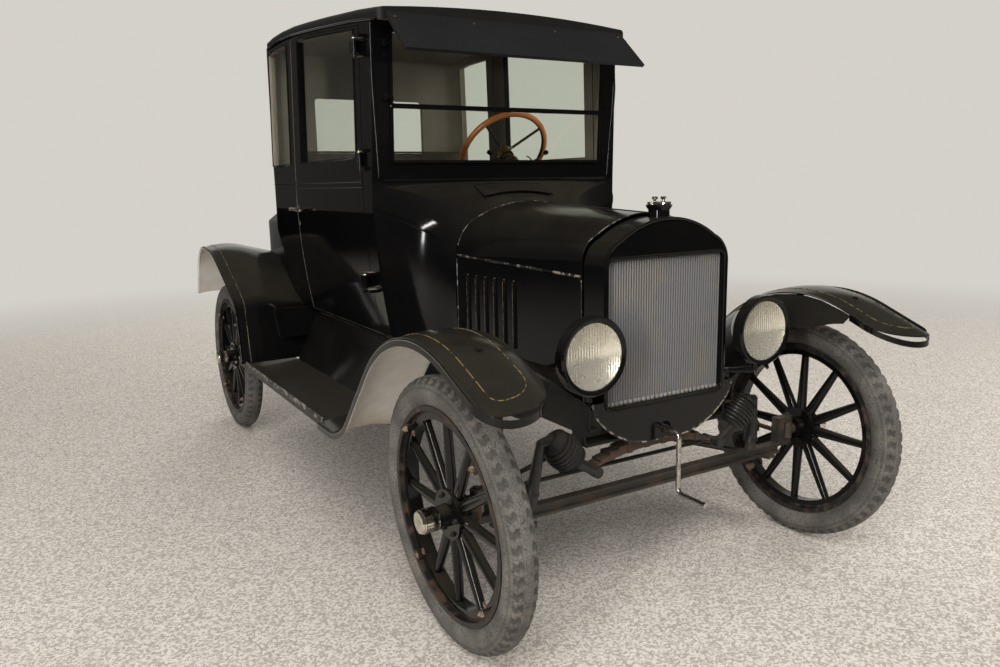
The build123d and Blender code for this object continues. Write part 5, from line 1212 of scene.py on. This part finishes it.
def padded(name, near, far, thick, swell):
    """A pad between two level edges, each given as (y, z), thick along its own normal."""
    (a, b), (c, d) = [[Vector((x, *end)) for x in (-SEAT_HALF, SEAT_HALF)] for end in (near, far)]
    normal = (b - a).cross(c - a).normalized()
    front, back = [], []
    for v in steps(0, 1, SEAT_ROWS):
        front_row, back_row = [], []
        for u in steps(0, 1, CHANNELS * CHANNEL_COLUMNS):
            place = a.lerp(b, u).lerp(c.lerp(d, u), v)
            edge = min(min(1, min(u, 1 - u) / 0.03) ** 0.5, min(1, min(v, 1 - v) / 0.1) ** 0.5)
            seam = abs(math.sin(math.pi * u * CHANNELS)) ** 0.55
            crown = math.sin(math.pi * v) ** 0.5 if 0 < v < 1 else 0
            height = thick * (0.5 + 0.5 * edge) + swell * (seam * 0.8 + crown * 0.6 - 0.9) * edge
            height -= 0.0072 * noise.noise(place * 9) * edge
            front_row.append(place + normal * height)
            back_row.append(place)
        front.append(front_row)
        back.append(back_row)
    shape, welt = Shape(), Shape()
    shape.grid(front)
    shape.grid([row[::-1] for row in back])
    shape.grid([outline(back), outline(front)], ring=True)
    piece = shape.make(name, seat_cloth, "seat_cloth", sharp=70)
    weld = bmesh.new()
    weld.from_mesh(piece.data)
    bmesh.ops.remove_doubles(weld, verts=weld.verts, dist=0.0002)
    bmesh.ops.recalc_face_normals(weld, faces=weld.faces)
    weld.to_mesh(piece.data)
    weld.free()
    piece.data.shade_smooth()
    fine = piece.modifiers.new("fine", "SUBSURF")
    fine.levels = fine.render_levels = 1
    welt.tube([p - normal * 0.004 for p in outline(front)], 0.0048, 6, normal, closed=True)
    welt.make(name + "_welt", seat_cloth, "seat_cloth")
    return piece


seat_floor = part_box("seat")[0][2]
cushion = padded("seat_cushion", (0.098, SEAT_TOP), (0.585, SEAT_TOP), 0.128, 0.030)
padded("seat_back", (0.690, 0.910), (0.828, 1.436), 0.088, 0.026)
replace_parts(cushion, "seat")
base = Shape()
base.box((-BOX_HALF, BOX_FRONT, seat_floor + 0.001), (BOX_HALF, BOX_BACK, SEAT_TOP - 0.001))
for z in (SEAT_TOP - 0.010, seat_floor + 0.012):
    base.tube([(x, BOX_FRONT - 0.0015, z) for x in (-BOX_HALF, BOX_HALF)], 0.004, 6)
base.make("seat_box", seat_cloth, "seat_cloth")
print("seat top", SEAT_TOP, "channels", CHANNELS)

# %% [markdown]
# ## Floor and light
# A pale speckled floor fades into an even backdrop. The camera, the glass and rays mirrored
# towards the backdrop see it bright, and the rest of the enamel mirrors a darker room. Large
# soft lamps and one tall strip light the car.

# %% Studio
BACKDROP, AROUND, MIRRORED = (0.66, 0.635, 0.59), (0.38, 0.37, 0.35), (0.085, 0.08, 0.07)
BEHIND_CAR = (math.sin(YAW), math.cos(YAW), 0)
FLOOR_RINGS = [(0.01, 0.0), (2, 0.0), (5, 0.0), (9.0, 0.0), (14.0, 0.0), (22.0, 0.3)]
SOFT_LAMPS = (
    ("key", (-3.4, -5.8, 6.6), (0, -0.5, 0.7), 6.5, 720),
    ("fill", (6.0, -3.4, 3.6), (0, 0, 0.8), 5.0, 300),
    ("back", (1.5, 6.0, 4.5), (0, 0, 0.9), 3.5, 200),
)
STRIP_HEIGHT = 2.6


def shows_backdrop(nodes, ahead):
    """1 for the camera, through glass, and for mirrored rays that run towards the backdrop."""
    kinds = ("Camera", "Transmission", "Glossy")
    seen, through, mirrored = [nodes.node("LightPath", out=f"Is {kind} Ray") for kind in kinds]
    return (seen + through + mirrored * ahead.step(0.72, 0.86)).step(0, 1)


def lamp(name, place, target, size, watts):
    light = bpy.data.lights.new(name, "AREA")
    light.shape, light.size, light.energy, light.color = "DISK", size, watts, (1, 0.97, 0.93)
    piece = bpy.data.objects.new(name, light)
    aim = Vector(target) - Vector(place)
    piece.matrix_world = Matrix.Translation(place) @ aim.to_track_quat("-Z", "Y").to_matrix().to_4x4()
    bpy.context.collection.objects.link(piece)
    return piece


studio = Paint("studio_floor", Emission_Strength=1.0, Specular_IOR_Level=0.0)
grains = studio.node("TexVoronoi", None, {"Vector": studio.point, "Scale": 150}, out=1)
tone = studio.axis(grains, 0).step(0.1, 0.9)
away = studio.vector("LENGTH", studio.point, out=1)
ahead = studio.vector("DOT_PRODUCT", studio.point, BEHIND_CAR, out=1) / away
far = away.step(3.2, 8.5)
stone = studio.mix((0.34, 0.31, 0.28), (0.60, 0.57, 0.53), tone)
studio.set("Emission Color", studio.mix((0, 0, 0), BACKDROP, far * shows_backdrop(studio, ahead)))
studio.finish(studio.mix(stone, (0, 0, 0), far), 0.9, tone, 0.5, 0.004)
floor = Shape()
floor.grid([[polar(r, a, h) for a in turns(64)] for r, h in FLOOR_RINGS], ring=True)
floor.build("floor", studio.material)

world = bpy.data.worlds.new("studio_light")
world.use_nodes = True
bpy.context.scene.world = world
sky = Nodes(world.node_tree)
ahead = sky.vector("DOT_PRODUCT", sky.node("TexCoord", out="Generated"), BEHIND_CAR, out=1)
around = sky.mix(AROUND, MIRRORED, sky.node("LightPath", out="Is Glossy Ray"))
background = world.node_tree.nodes["Background"]
sky.feed(background.inputs["Color"], sky.mix(around, BACKDROP, shows_backdrop(sky, ahead)))
background.inputs["Strength"].default_value = 1.0

for settings in SOFT_LAMPS:
    lamp(*settings).visible_glossy = False
strip = lamp("strip", (-4.2, -3.6, 1.9), (-0.2, -0.6, 1.1), 0.32, 120)
strip.data.shape, strip.data.size_y = "RECTANGLE", STRIP_HEIGHT
print("studio ready")
